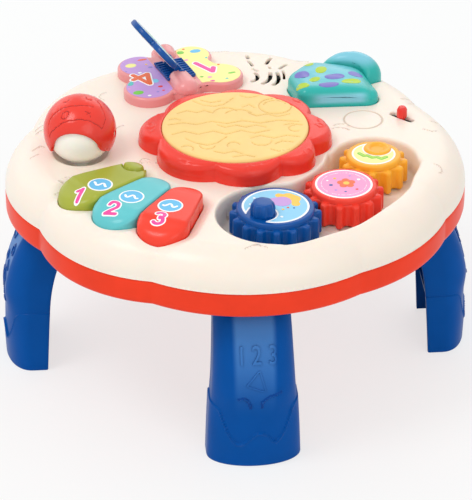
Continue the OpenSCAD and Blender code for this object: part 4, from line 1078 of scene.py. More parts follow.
def rim_ring(r, z=None, lead=0.0):
    """A ring of the rim, at a height or on its upper face, which is looked up a little further out."""
    if z is None:
        z = rim_z(circle_ring((0, 0), r + lead, 0, RIM_N))
    return circle_ring((0, 0), r, z, RIM_N)


drum_rim = Piece("drum_rim_cover")
reach = rim_radius(np.arange(RIM_N) * TAU / RIM_N)
rings = [rim_ring(reach - inset, DECK + z) for inset, z in (
    (0.6, 0), (0, 0.1), (0, 1.5), (0.48, 3.5), (0.48, 5))]
for s in (0, 0.06, 0.2, 0.45, 0.8, 1.3, 2, 2.9, 4, 5.2, 6.4):
    inset = np.minimum(s, (reach - BORE_R) * (s / 6.4) * 0.97) + 0.48
    rings.append(rim_ring(reach - np.minimum(inset, reach - BORE_R - 0.9), lead=0.48))
start = reach - np.minimum(6.88, reach - BORE_R - 0.9)
rings += [rim_ring(start * (1 - f) + (BORE_R + 0.7) * f) for f in np.linspace(0, 1, 15)[1:]]
rings += [rim_ring(BORE_R + i, RIM_TOP - drop) for i, drop in ((0.3, 0.2), (0.05, 0.6), (0, 7))]
drum_rim.loft(rings, CORAL, first=False, last=False)
drum_rim.done("table", ["drum_rim"], "coral_rim", angle=45)

pad_lines = strokes_of(
    (0.45, [(-52, 6), (-40, 8), (-30, 4), (-18, 8), (-6, 3), (6, 7), (20, 2), (34, 6), (50, 3)],
     arc(34, 30, 13, 0, 360, 22),
     [(-50, -10), (-40, -6), (-30, -12), (-18, -8), (-8, -14), (4, -9), (14, -14), (26, -10)]),
    (0.4, arc(34, 30, 9.5, 20, 160), [(-30, 44), (-22, 36), (-14, 33), (-6, 36), (2, 46)],
     [(-24, 45), (-16, 40), (-8, 42)], [(-44, 24), (-36, 28), (-28, 24), (-22, 27), (-16, 22)],
     arc(-6, 20, 10, 20, 170), arc(4, 14, 12, 30, 150),
     [(12, 20), (18, 14), (26, 17), (34, 12), (44, 16)],
     [(-40, -18), (-32, -26), (-24, -30), (-16, -27), (-8, -18)], arc(-24, -30, 6, 180, 340),
     [(-20, -40), (-12, -44), (-4, -41), (2, -46)], [(-6, -50), (4, -48), (12, -52)],
     arc(18, -26, 8, 200, 350), [(10, -22), (18, -18), (28, -23), (38, -19), (48, -22)],
     [(28, -32), (34, -28), (42, -30)], [(24, -40), (30, -44), (38, -41)], arc(46, -8, 5, 90, 300),
     [(38, -2), (44, 0), (52, -3)], [(-14, 2), (-8, -3), (0, 0), (8, -4), (16, -1), (24, -5)],
     arc(-40, -34, 5, -40, 140), [(8, 50), (14, 46), (22, 48)], [(8, 30), (14, 34), (18, 28)],
     [(-52, 14), (-46, 16), (-42, 13)], arc(-4, -32, 5, 10, 200)))
pad = Piece("drum_pad_cover")
dense = np.array([(x, y) for x in np.arange(-56, 56, 0.8) for y in np.arange(-56, 56, 0.8)])
dense = dense[(np.hypot(*dense.T) < 55) & (np.abs(pad_lines(dense)) < 1.2)]
# painted shade: the pad's grooves in the darker yellow
pad.plate(disc((0, 0), PAD_R), around((0, 0), 58),
          lambda p, d: PAD_TOP - 0.6 * smooth(0, 57, np.hypot(*p.T)) - round_drop(d, 2.0, 2.0)
          - 0.55 * (1 - smooth(-0.2, 0.6, pad_lines(p))),
          PAD_LOW, DRUM, insets=(0, 0.15, 0.5, 1, 1.6, 2.4), spacing=1.6, bottom=True,
          paint=[(pad_lines, DRUM_PAINTED_SHADE)], more=dense)
pad.lathe((0, 0), [(5, PLUNGER_LOW), (5, 188)], DRUM, n=32)
pad.done("drum", ["drum_pad"], "drum_cream", angle=40)


# ---------------------------------------------------------------- keys

KEY_TOP, KEY_LOW = 186.5, 165.5
BUD_AT, BUD_R = polar(91.5, KEY_DIRS[0] - 3.2), 8.3
# plastic, slot, middle of the round label and of the digit
KEYS = [(OLIVE, "olive_key", (-108.7, -70.2), (-125.2, -79.4)),
        (TEAL_KEY, "teal_key", (-86, -90.8), (-101.0, -103.6)),
        (RED_KEY, "red_key", (-57.8, -106.8), (-67.2, -123.3))]


def key_z(p, d):
    r = radius_of(p)
    front = np.clip((r - 138) / 23.5, 0, 1)
    z = KEY_TOP - 14.5 * (1 - np.sqrt(np.maximum(1 - front ** 2, 0))) - 1.3 * smooth(139, 144, r)
    z = z - np.interp(r, [70, 84, 91, 98, 104], [2.6, 2.6, 1.1, 0.15, 0])
    soft = smooth(128, 150, r)
    z = z - round_drop(d, 2.4 + 4 * soft, 2.4 + 1.2 * soft)
    off = disc(BUD_AT, 0)(p)
    z = z - 2.6 * (1 - smooth(0.2, 1.1, np.abs(off - BUD_R))) * smooth(104, 97, r)
    z = z + 2.2 * np.sqrt(np.maximum(1 - (off / BUD_R) ** 2, 0))
    return np.maximum(z, 168)


for i, (mat, slot, at, digit_at) in enumerate(KEYS):
    name, way, shape = f"key_{i + 1}", KEY_DIRS[i], key_shape(i)
    dense = None
    if i == 0:
        dense = np.array([(x, y) for x in np.arange(-11, 11, 0.7) for y in np.arange(-11, 11, 0.7)]) + BUD_AT
        dense = dense[(np.abs(disc(BUD_AT, BUD_R)(dense)) < 1.6) & (shape(dense) < -0.8)]
    key = Piece(name + "_cover")
    key.plate(shape, around(polar(120, way), 52), key_z, KEY_LOW, mat, step=2.2, spacing=0.9, bottom=True,
              insets=(0, 0.12, 0.4, 0.8, 1.4, 2.1, 3, 4.2, 5.6), more=dense)
    key.lathe(polar(125, way), [(3.5, PLUNGER_LOW), (3.5, 180)], mat, n=24)
    key.done(name, [name], slot, angle=40)

    def top(p, lift=0.0):
        return key_z(p, -shape(p)) + lift

    label = Piece(name + "_print")
    label.decal(disc(at, 9.7), around(at, 12), top, "white", thick=0.2, step=2.5)
    label.decal(disc(at, 8.5), around(at, 12), lambda p: top(p, 0.2), "blue", thick=0.12, step=2.5)
    wave = [turned(x, 2.0 * math.sin(x * 0.85 + i), -24, at) for x in np.linspace(-5.2, 5.2, 14)]
    label.decal(polyline(wave, half=1.0), around(at, 10), lambda p: top(p, 0.32), "white", thick=0.1, step=2,
                spacing=0.6)
    for half, thick, ink in ((2.5, 0.2, "white"), (1.45, 0.34, "pink")):
        label.decal(stroke_digit(str(i + 1), digit_at, 12.5, -24, half), around(digit_at, 12), top, ink,
                    thick=thick, step=2, spacing=0.7)
    label.done(name, [name + "_label"], "label_blue", angle=30)


# ---------------------------------------------------------------- gears

# name, middle, teeth, turn, plastic, slots of the gear and of its label
GEARS = [("blue", BLUE_AT, 16, 221.25, NAVY, "navy_gear", "label_blue"),
         ("red", RED_AT, 14, 0.0, RED_GEAR, "red_gear", "label_pink"),
         ("yellow", YELLOW_AT, 12, 321.1, YELLOW_GEAR, "yellow_gear", "label_yellow")]
TOOTH_Z, GEAR_TOP, TOOTH_DEPTH, GEAR_N = 160.0, 182.5, 5.0, 720
# depth from the tip as a share, and half width of a tooth there
TOOTH_ROWS = np.array([[1, 4.7], [0.93, 4.2], [0.84, 3.7], [0.72, 3.3], [0.4, 2.85], [0.2, 2.4], [0.08, 1.9],
                       [0.02, 1.3], [0, 0.5]])


def valley_radius(teeth):
    return 4.15 * teeth / 2 + 1.7 - TOOTH_DEPTH


def gear_ring(teeth, turn, inset, z):
    """A gear's outline at height z, drawn in by inset, with soft valleys between the teeth."""
    valley, pitch = valley_radius(teeth), 360 / teeth
    off = np.abs((np.arange(GEAR_N) * 360 / GEAR_N - turn + pitch / 2) % pitch - pitch / 2)
    r_rows = valley + (1 - TOOTH_ROWS[:, 0]) * TOOTH_DEPTH
    a_rows = np.degrees(np.arcsin(TOOTH_ROWS[:, 1] / r_rows))
    order, foot = np.argsort(a_rows), a_rows.max()
    dip = 0.25 * np.sin(np.clip((off - foot) / (pitch / 2 - foot), 0, 1) * math.pi / 2)
    r = np.where(off > foot, valley - dip, np.interp(off, a_rows[order], r_rows[order]))
    ring = circle_ring((0, 0), r, z, GEAR_N)
    if inset:
        pts = ring[:, :2] - right_of((np.roll(ring, -2, 0) - np.roll(ring, 2, 0))[:, :2]) * inset
        ring[:, :2] = pts * np.maximum(1, (valley - inset * 1.2) / np.hypot(*pts.T))[:, None]
    return ring


def gear_body(name, at, teeth, turn, mat):
    gear = Piece(f"gear_{name}_cover")
    crown = valley_radius(teeth)
    rings = [gear_ring(teeth, turn, inset, z) for inset, z in (
        (1.4, TOOTH_Z), (0.5, TOOTH_Z + 0.2), (0.05, TOOTH_Z + 1.0), (0, TOOTH_Z + 2.5), (0, DECK - 2.8),
        (0.1, DECK - 1.6), (0.45, DECK - 0.75), (1.1, DECK - 0.2), (1.9, DECK))]
    rings += [circle_ring((0, 0), r, z, GEAR_N) for r, z in (
        (crown - 0.3, DECK + 0.05), (crown - 0.4, DECK + 0.6), (crown - 0.5, GEAR_TOP - 1.5),
        (crown - 0.85, GEAR_TOP - 0.6), (crown - 1.6, GEAR_TOP - 0.1), (crown - 2.4, GEAR_TOP),
        (crown - 4, GEAR_TOP), (crown * 0.5, GEAR_TOP))]
    gear.loft(rings, mat)
    gear.lathe((0, 0), [(8, RECESS_FLOOR + 0.3), (8, TOOTH_Z + 1)], mat, n=48)
    gear.lathe((0, 0), [(5, 155.8), (5, TOOTH_Z)], mat, n=48)
    return gear.move(shift(at))


knob_at = polar(15.5, 226, BLUE_AT)
hub_at = (YELLOW_AT[0] + 3.8, YELLOW_AT[1] + 7.5)
for name, at, teeth, turn, mat, slot, label_slot in GEARS:
    gear = gear_body(name, at, teeth, turn, mat)
    if name == "yellow":
        gear.lathe(hub_at, [(r, GEAR_TOP + z) for r, z in (
            (10.4, -0.5), (10.3, 0.9), (9.8, 1.4), (8.8, 1.6), (6.6, 1.5), (5.9, 0.9), (5.3, 0.2),
            (4.2, -0.1), (2, -0.2))], mat)
    gear.done(name + "_gear", [f"gear_{name}"], slot, angle=42)

    def near(x, y):
        return at[0] + x, at[1] + y

    label = Piece(f"gear_{name}_print")
    area, z = around(at, 30), GEAR_TOP
    if name == "blue":
        cutout = [(1.8, -109), (-1.2, -115.5), (-6, -140), (16, -142), (11.6, -130.4), (19, -119), (16, -112)]
        notch = union(disc(knob_at, 10.6), polygon(cutout), blend=1.5)
        shell = union(disc(near(5.5, 6), 7.2), disc(near(-1, 7), 4.6), blend=3)
        cloud = union(*[disc(near(x, y), r) for x, y, r in (
            (15, 9.5, 5.2), (11, 14, 4.4), (15.5, 1.5, 3.4), (4, 15.5, 3))], blend=3)
        label.decal(cut(disc(at, 25.6), notch), area, z, "white", thick=0.15)
        label.decal(cut(disc(at, 24.0), grow(notch, 1.3)), area, z + 0.15, "sky", thick=0.1)
        label.decal(cloud, area, z + 0.25, "yellow", thick=0.1, step=3, spacing=0.6)
        label.decal(shell, area, z + 0.32, "lilac", thick=0.1, step=3, spacing=0.6)
        label.spots([(9, -3.5, 1.1, "orange"), (13.5, -4.5, 0.9, "navy"), (5, -6, 1.2, "yellow"),
                     (-15, 13, 1.1, "white"), (-19, 4, 0.9, "white"), (3, -17, 1.2, "white")], z + 0.3, at)
    elif name == "red":
        ring = cut(disc(at, 17.6), disc(at, 16.9))
        petals = union(*[disc(polar(4.2, k * 72 + 18, near(2, 1)), 3.1) for k in range(5)])
        label.decal(disc(at, 22.0), area, z, "white", thick=0.15)
        label.decal(disc(at, 20.4), area, z + 0.15, "rose", thick=0.08)
        label.decal(ring, area, z + 0.23, "white", thick=0.06, spacing=0.6)
        label.decal(petals, area, z + 0.23, "orange", thick=0.1, step=2, spacing=0.5)
        label.spots([(2, 1, 2.5, "yellow")], z + 0.33, at)
        label.spots([(-10, -1, 1.5, "navy"), (12, 6, 1.4, "white"), (-6, 9, 1.2, "yellow"),
                     (9, -9, 1.2, "red"), (-7, -9, 1.3, "lilac"), (0, -12, 1.0, "navy"),
                     (-12, 6, 1.0, "white"), (6, 12, 1.2, "lilac")], z + 0.25, at)
    else:
        leaf = [near(*p) for p in ((-11, 1), (-8, -3), (-5, -3), (-2, -6.5), (2, -6), (5, -9), (9, -6.5))]
        vein = [(x, y + 0.2) for x, y in leaf]
        label.decal(cut(disc(at, 17.0), disc(hub_at, 10.6)), area, z, "white", thick=0.15, step=3)
        label.decal(cut(disc(at, 15.6), disc(hub_at, 11.8)), area, z + 0.15, "cream", thick=0.08, step=3)
        label.decal(polyline(leaf, half=1.8), area, z + 0.23, "green", thick=0.1, step=2, spacing=0.6)
        label.decal(polyline(vein, half=0.6), area, z + 0.33, "lime", thick=0.08, step=2, spacing=0.5)
    label.done(name + "_gear", [f"gear_{name}_label"], label_slot, angle=30)

knob = Piece("crank_knob_cover")
flutes = (0.5 - 0.5 * np.cos(np.arange(192) * TAU / 192 * 8)) ** 1.5
knob.loft([circle_ring(knob_at, r - depth * flutes, GEAR_TOP + z, 192) for r, z, depth in (
    (9.0, 0.0, 0.9), (9.3, 0.4, 1.1), (9.5, 1.4, 1.3), (9.6, 3.0, 1.4), (9.6, 5.0, 1.4), (9.4, 6.6, 1.3),
    (9.0, 8.0, 1.1), (8.5, 9.2, 0.8), (8.0, 9.9, 0.5), (7.4, 10.35, 0.3), (6.6, 10.55, 0.15),
    (3.5, 10.6, 0.0), (1.0, 10.6, 0.0))], NAVY)
knob.done("blue_gear", ["crank_knob"], "navy_gear", angle=45)


# ---------------------------------------------------------------- butterfly

PLATE_TOP, HINGE_Z, PAGE_HALF, KNUCKLE_END = 186.5, 191.5, 2.5, 12.7
BUTTERFLY_AT, BODY_DIR, PAGE_LEAN = (-39.5, 113.0), 108.0, 52.0
WINGS = [[(-62, 86, 20.5), (-67, 124, 18.5)], [(-3, 106, 18.5), (-24, 141, 16.5)]]
BODY_OUTLINE = [(-30, 79), (-48, 78), (-70, 72), (-78, 100), (-72, 128), (-58, 141), (-46, 148),
                (-34, 152), (-14, 150), (-8, 130), (8, 112), (4, 92), (-18, 88)]
plate_shape = union(*[union(*[disc((x, y), r) for x, y, r in wing], blend=4.0) for wing in WINGS],
                    grow(polygon(rounded(BODY_OUTLINE, 5)), -1.0), slug((-33, 85), 10.5, (-47.5, 149), 9),
                    blend=3.0)
plate_box = (-92, 60, 26, 166)
plate = Piece("butterfly_cover")
plate.plate(plate_shape, plate_box, lambda p, d: PLATE_TOP - round_drop(d, 2.6, 2.6), DECK, PINK,
            insets=(0, 0.12, 0.45, 0.9, 1.5, 2.1, 2.8), step=4.5, bottom=True)
near_bulb = slug((-36.4, 98.5), 9.4, (-32.3, 84.2), 10.6)
far_bulb = slug((-45.2, 149.0), 8.2, (-44.0, 141), 7.6)
for bulb, height, radius in ((near_bulb, 8.9, 9.2), (far_bulb, 6.7, 7.3)):
    plate.plate(bulb, plate_box, lambda p, d: PLATE_TOP - 1.5 + height - round_drop(d, radius, height),
                PLATE_TOP - 1.6, PINK, insets=(0, 0.1, 0.35, 0.8, 1.5, 2.4, 3.6, 5, 6.6, 8), step=3,
                spacing=1.3)
plate.done("table", ["butterfly_plate"], "pink_plastic", angle=40)


def in_body(x, y):
    """A place in the butterfly's own frame, X along its body, to the table's frame."""
    return turned(x, y, BODY_DIR, BUTTERFLY_AT)


comb_zone = box_shape(BUTTERFLY_AT, (92, 25), 0, BODY_DIR)
bulbs = union(grow(near_bulb, 0.6), grow(far_bulb, 0.6))
body_line = box_shape(in_body(0, 200), (400, 400), 0, BODY_DIR)
prints = Piece("wing_prints")
# middle, two half widths and ink of the ovals on the left and on the right wing
LILAC_SPOTS = [
    ((-74.6, 124.7), 4.6, 3.4, "cream"), ((-64.7, 134.5), 4.2, 1.4, "orange"),
    ((-77.5, 94), 3.4, 4.6, "teal"), ((-71.1, 77.0), 4.4, 3.2, "green"),
    ((-52.9, 86.4), 2.0, 1.6, "red"), ((-50.9, 79.5), 1.3, 1.0, "red"),
    ((-55.5, 77.4), 1.3, 1.0, "violet"), ((-56.5, 96.5), 3.0, 3.4, "sky"), ((-59, 120.6), 2.0, 1.6, "violet"),
    ((-79.6, 114), 1.4, 1.4, "violet"), ((-68, 111.5), 1.6, 1.4, "white"), ((-62.5, 71.5), 1.6, 1.2, "white"),
    ((-83.5, 127), 1.2, 1.6, "rose"), ((-62, 126), 1.1, 1.1, "yellow"), ((-78, 84), 1.1, 1.1, "rose")]
CREAM_SPOTS = [
    ((-33, 144.5), 3.2, 2.6, "green"), ((-20.5, 146.5), 4.6, 3.0, "blue"), ((-29.0, 131), 1.8, 1.4, "rose"),
    ((6.2, 105.7), 3.4, 1.4, "green"), ((-18.6, 100.5), 1.5, 1.2, "green"), ((-12.2, 99.4), 1.9, 1.4, "rose"),
    ((-10.5, 92.6), 2.2, 1.4, "pink"), ((-12, 134), 1.6, 1.3, "teal"), ((-3.5, 121), 1.2, 1.0, "orange"),
    ((1.5, 96), 1.4, 1.0, "teal"), ((-30, 150.5), 1.3, 1.0, "orange")]
wing_face = cut(cut(grow(plate_shape, -2.2), comb_zone), bulbs)
for sign, colour, ovals, digit, digit_colour, digit_at in (
        (1, "lilac", LILAC_SPOTS, "4", "orange", (-65.5, 101)),
        (-1, "cream", CREAM_SPOTS, "1", "pink", (-14.5, 117.5))):
    area = cut(wing_face, lambda p: -sign * body_line(p))
    prints.decal(area, plate_box, PLATE_TOP, colour, thick=0.25, spacing=1.0)
    for at, rx, ry, ink in ovals:
        spot = cut(oval(at, rx, ry, 15), lambda p: -area(p) - 0.4)
        prints.decal(spot, around(at, 8), PLATE_TOP + 0.25, ink, thick=0.08, step=3, spacing=0.6, edge=0.05)
    for half, lift, ink in ((3.3, 0.35, "white"), (2.1, 0.5, digit_colour)):
        figure = stroke_digit(digit, digit_at, 20, -141, half)
        prints.decal(figure, around(digit_at, 18), PLATE_TOP, ink, lift)
prints.done("table", ["wing_labels"], "label_purple", angle=30)

comb = Piece("hinge_comb_cover")
# places in the body's frame, size, corner, heights over the plate, edge, insets, step and spacing
teeth = [((k - 4) * 3.75, side * 8.0, (1.7, 7.4), 0.8, 2.6, 1.4, 0.5, (0, 0.15, 0.5), 3, 0.6)
         for side in (-1, 1) for k in range(9)]
rims = [(0, side * 11.6, (32, 0.9), 0.4, 2.6, 1.0, 0.25, (0, 0.25), 3, 0.8) for side in (-1, 1)]
for x, y, size, corner, high, low, edge, insets, step, spacing in (
        [(0, 0, (32, 24), 2, 1.6, 0.0, 0.6, (0, 0.2, 0.7), 6, 1.5)] + teeth + rims):
    at = in_body(x, y)
    comb.plate(box_shape(at, size, corner, BODY_DIR), around(at, max(size)),
               lambda p, d: PLATE_TOP + high - round_drop(d, edge, edge), PLATE_TOP + low, NAVY,
               insets=insets, step=step, spacing=spacing)
hinge, knuckle = shift(BUTTERFLY_AT, HINGE_Z) @ spin(BODY_DIR), spin(90, "Y")
for end in (-1, 1):
    near, far = sorted((end * 16.0, end * 13.0))
    comb.lathe(None, [(2.2, near), (2.9, near + 0.1), (3.2, near + 0.5), (3.2, far - 0.5), (2.9, far - 0.1),
                      (2.2, far)], NAVY, n=40, matrix=hinge @ knuckle)
    at = in_body(end * 14.5, 0)
    comb.plate(box_shape(at, (2.9, 6.3), 0.5, BODY_DIR), around(at, 6), lambda p, d: np.full(len(p), HINGE_Z),
               PLATE_TOP + 1.4, NAVY, insets=(0, 0.4), step=3, spacing=0.7)
comb.done("table", ["hinge_comb"], "navy_plastic", angle=40)

outline = rounded([(-20, 4.5), (18, 4.5), (30, 24), (12, 40), (-16, 30), (-23, 14)], 3)
page_shape = grow(union(disc((-8, 19), 16), disc((12, 29), 19.5), polygon(outline), blend=2.0), -0.6)


def under_page(p):
    """The bulbs of the body as they lie beneath the page at either end of its travel."""
    sides = [np.array([in_body(x, side * y) for x, y in p]) for side in (1, -1)]
    return np.min([bulb(side) for bulb in (near_bulb, far_bulb) for side in sides], axis=0)


page_shape = cut(page_shape, grow(under_page, 1.0))
page = Piece("flip_page_cover")
flat_box = (-30, 0, 36, 54)
both = Piece()
both.plate(page_shape, flat_box, lambda p, d: PAGE_HALF - round_drop(d, 1.6, 1.6), 0.0, NAVY,
           insets=(0, 0.1, 0.4, 0.8, 1.3, 1.9), step=4.5, spacing=1.3)
page.take(both, lambda verts: verts)
page.take(both, lambda verts: verts * [1, 1, -1], flip=True)
rows = [(1.3, KNUCKLE_END), (2.4, KNUCKLE_END), (2.8, KNUCKLE_END - 0.4)]
page.lathe(None, [(r, -x) for r, x in rows] + rows[::-1], NAVY, n=40, ends=False, matrix=knuckle)
block = [(-KNUCKLE_END, 0), (KNUCKLE_END, 0), (KNUCKLE_END, 6), (-KNUCKLE_END, 6)]
page.loft([np.array([(x, y, z) for x, y in block]) for z in (-2.4, 2.4)], NAVY)
stand = hinge @ spin(PAGE_LEAN, "X")
page.move(stand).done("page", ["flip_page"], "navy_plastic", angle=40)

one = Piece()
printed = cut(grow(page_shape, -2.4), box_shape((0, 3), (100, 10.4)))
one.decal(printed, flat_box, PAGE_HALF, "white", thick=0.2, spacing=1.0)
one.decal(grow(printed, -1.1), flat_box, PAGE_HALF + 0.2, "teal", thick=0.08, spacing=1.0)
one.spots([(-12, 22, 3.0, "yellow"), (18, 36, 3.6, "rose"), (8, 17, 2.0, "white"), (22, 22, 2.2, "cream"),
           (-4, 30, 1.8, "white"), (2, 40, 1.6, "yellow")],
          PAGE_HALF + 0.28, thick=0.06, step=3, spacing=0.6, edge=0.05)
page_print = Piece("page_prints")
for sign in (1, -1):
    page_print.take(one, lambda verts: verts * [1, 1, sign], flip=sign < 0)
page_print.move(stand).done("page", ["page_labels"], "label_teal", angle=30)


# ---------------------------------------------------------------- visor over the ball

def unit(*way):
    return np.array(way) / np.linalg.norm(way)


VISOR_R, VISOR_IN = 28.3, 25.9
# EDGE_DIR: middle of the unrolled visor; AXIS_DIR: hinge; OPEN_DIR, TIP_DIR: across the planes that cut it
EDGE_DIR = unit(0.263, 0.857, 0.442)
OPEN_DIR = unit(0.180, 0.9215, 0.350)
AXIS_DIR = np.array([*polar(1, -17.1), 0])
DOWN_DIR = np.cross(EDGE_DIR, AXIS_DIR)
TIP_DIR = np.array([0.04, 0.485, 0.873])
ball_mid = np.array([*BALL_AT, BALL_Z])


def on_ball(p):
    """Directions from the ball's centre of places in the unrolled visor (mm on its skin)."""
    r = radius_of(p)
    turn = r / VISOR_R
    side = np.where(r > 1e-9, np.sin(turn) / np.maximum(r, 1e-9), 1 / VISOR_R)
    return (np.cos(turn)[:, None] * EDGE_DIR + (side * p[:, 0])[:, None] * AXIS_DIR
            + (side * p[:, 1])[:, None] * DOWN_DIR)


def visor_shape(p):
    way = on_ball(p) * VISOR_R
    front = -21.0 - way @ OPEN_DIR
    low = -18.2 - way[:, 2]
    tips = -16.9 - way @ TIP_DIR
    pin = 2.45 - np.linalg.norm(np.cross(way, AXIS_DIR), axis=1)
    h = np.clip(0.5 + 0.5 * (tips - front) / 4.0, 0, 1)
    edge = front * (1 - h) + tips * h + 4.0 * h * (1 - h) * 0.5
    return np.maximum(np.maximum(edge, low), pin)


visor_lines = strokes_of(
    (0.42, [(-34.8, -36.3), (-28, -39), (-21.6, -40.5), (-10, -42), (1.1, -41.8), (9.6, -38.7),
      (17.8, -34.5)],
     [(-54, -34), (-47, -40), (-38, -47.5), (-26.7, -52.8), (-12, -55), (1.4, -55), (17.6, -49.7),
      (32.1, -41.4), (42, -32)], [(14.1, -24), (25.8, -26.3), (34, -26), (42, -31)],
     [(-54, -34), (-44, -34), (-34.8, -36.3)]),
    (0.45, [(-19, -49), (-16, -46.4), (-11, -46), (-7, -47.6), (-7, -50.4), (-11, -52.2), (-16, -51.6),
      (-19, -49)]),
    (0.4, [(13, -43.5), (18, -42), (23, -43)], [(16.5, -44.5), (19.5, -40.5)],
     [(-16, -34), (-12, -36), (-9, -33.5)], [(5, -28), (9, -31), (12, -29)]))


def visor_skin(p, d):
    return VISOR_R - round_drop(d, 0.9, 0.9) - 0.45 * (1 - smooth(-0.2, 0.4, visor_lines(p)))


unrolled = around((0, 0), 66)
visor = Piece("visor_cover")
flat_visor = Piece()
grooves = [loop for level in (-0.15, 0.35) for loop in contours(visor_lines, unrolled, 0.8, level, 0.9)]
# painted shade: the visor's grooves in the darker red
flat_visor.plate(visor_shape, unrolled, visor_skin, VISOR_IN, VISOR, insets=(0, 0.1, 0.35, 0.9), step=2.6,
                 spacing=1.2, lines=grooves, paint=[(grow(visor_lines, -0.1), VISOR_PAINTED_SHADE)])
visor.take(flat_visor, lambda verts: ball_mid + on_ball(verts[:, :2]) * verts[:, 2:])
rim = contours(visor_shape, unrolled, 1.44, 0.0, 1.2)
flat, faces = tiles(rim, lambda p: visor_shape(p) < 0.01, unrolled, 3.2)
visor.add(ball_mid + on_ball(flat) * VISOR_IN, faces, VISOR, flip=True)
visor.done("visor", ["visor"], "visor_red", angle=40)


# ---------------------------------------------------------------- hill and dome buttons

FLANGE_LOW, FLANGE_HIGH = 162.4, 164.4
HILL_BOX = (40, 45, 140, 135)


def hill_z(p, d):
    crown = 1 - (1 - np.clip(d / 19, 0, 1)) ** 2
    right = np.clip((p[:, 0] - 86) / 28, 0, 1)
    left = np.clip((66 - p[:, 0]) / 18, 0, 1)
    sides = 6.5 * (1 - np.sqrt(1 - 0.96 * right ** 2)) + 3.0 * (1 - np.sqrt(1 - 0.96 * left ** 2))
    return DECK + 13.4 + 2.6 * crown - round_drop(d, 5.4, 5.2) - sides


def skirt(piece, flange, plunger):
    """The hidden part of a button: the stop flange and the plunger."""
    piece.plate(flange, HILL_BOX, lambda p, d: np.full(len(p), FLANGE_HIGH), FLANGE_LOW, TEAL, insets=(0,),
                step=8, spacing=2.5, bottom=True)
    piece.lathe(plunger, [(4, PLUNGER_LOW), (4, 186)], TEAL, n=28)


hill = Piece("hill_cover")
hill.plate(hill_shape, HILL_BOX, hill_z, FLANGE_HIGH, TEAL,
           insets=(0, 0.2, 0.55, 1.1, 1.8, 2.7, 3.8, 5.4, 8, 12), step=3.0, spacing=0.8)
skirt(hill, cut(grow(hill_shape, 1.6), grow(dome_shape, 3.2)), (85, 80))
hill.done("hill", ["hill_button"], "teal_button", angle=40)


def hill_top(p):
    return hill_z(p, np.maximum(-hill_shape(p), 0))


hill_print = Piece("hill_spots_print")
for at, rx, ry, turn, ink in (
        ((60.9, 84.0), 6.2, 5.4, 12, "purple"), ((86.6, 78.4), 8.2, 4.4, 6, "purple"),
        ((104.0, 83.0), 6.0, 4.2, -12, "purple"), ((80.6, 65.6), 8.2, 4.2, 4, "purple"),
        ((68.2, 103.0), 4.0, 4.2, 0, "leaf"), ((77.0, 90.5), 4.4, 5.4, -32, "leaf"),
        ((70.2, 75.2), 4.6, 3.4, 18, "leaf"), ((59.8, 66.4), 5.4, 3.8, -10, "leaf"),
        ((99.2, 70.8), 8.0, 4.0, 6, "leaf")):
    spot = cut(oval(at, rx, ry, turn), lambda p: -hill_shape(p) - 0.6)
    hill_print.decal(spot, around(at, 12), hill_top, ink, thick=0.18, step=2.2, edge=0.12)
hill_print.done("hill", (), "label_purple", angle=30)

dome_area = cut(dome_shape, grow(hill_shape, 0.8))


def dome_z(p, d):
    rho = np.hypot((p[:, 0] - DOME_AT[0]) / DOME_SIZE[0], (p[:, 1] - DOME_AT[1]) / DOME_SIZE[1])
    return DECK + 22.4 * np.sqrt(np.maximum(1 - rho ** 2, 0)) - round_drop(hill_shape(p) - 0.8, 13, 7.5)


dome = Piece("dome_cover")
dome.plate(dome_area, HILL_BOX, dome_z, FLANGE_HIGH, TEAL,
           insets=(0, 0.05, 0.18, 0.4, 0.75, 1.2, 1.8, 2.6, 3.6, 5, 7, 9.5, 12), step=3.5, spacing=1.4)
skirt(dome, cut(grow(dome_shape, 1.6), grow(hill_shape, 3.2)), (106, 113))
dome.done("dome", ["dome_button"], "teal_button", angle=40)


# ---------------------------------------------------------------- slide switch

def octagon(r, z):
    """An eight-sided ring with softened corners in the switch's own frame."""
    wedge, n = TAU / 8, 80
    flat_r = r * math.cos(wedge / 2)
    corner_r = flat_r / np.cos(np.arange(n) * TAU / n % wedge - wedge / 2)
    return circle_ring((0, 0), 0.72 * corner_r + 0.28 * flat_r, z, n)


switch = Piece("switch_cover")
base_z = DECK + 0.3
switch.loft([octagon(r, base_z + z) for r, z in (
    (4.0, 0), (4.3, 0.25), (4.3, 6.0), (4.2, 6.5), (3.3, 8.3), (2.9, 8.8), (2.3, 9.0), (1.2, 8.85))], SWITCH)
# the neck in the slot and three grip bars: middle, two half widths, low and high
for x, rx, ry, low, high in [(0, 1.8, 1.8, -5.8, 0.2)] + [(k * 1.1, 0.3, 1.6, 8.3, 8.98) for k in (-1, 0, 1)]:
    corners = [(x - rx, -ry), (x + rx, -ry), (x + rx, ry), (x - rx, ry)]
    switch.loft([risen(corners, base_z + low), risen(corners, base_z + high)], SWITCH)
switch.move(shift(SLOT_MID) @ spin(SLOT_DIR))
switch.done("switch", ["switch_knob"], "switch_red", angle=40)


# ---------------------------------------------------------------- finishes of the CAD's own pieces

finishes = [("rubber_dome", SILICONE), ("screw", STEEL), ("pin", STEEL), ("contact", STEEL),
            ("speaker", SPEAKER), ("board", BOARD), ("battery_box", DARK), ("switch_body", DARK),
            ("batter", CELL), ("ball_dome", BALL), ("label", INK["white"]), ("washer", STEEL)]
for name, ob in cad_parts.items():
    finish = next((mat for word, mat in finishes if word in name), DARK)
    for slot in ob.material_slots:
        slot.material = finish
    if not ob.material_slots:
        ob.data.materials.append(finish)


# ---------------------------------------------------------------- stage

def seen_rays(tree):
    """1 on the rays that see the background: camera, glossy and transmission."""
    paths = node(tree, "LightPath").outputs
    return maths(tree, "MAXIMUM", *[paths[f"Is {ray} Ray"] for ray in ("Camera", "Glossy", "Transmission")])


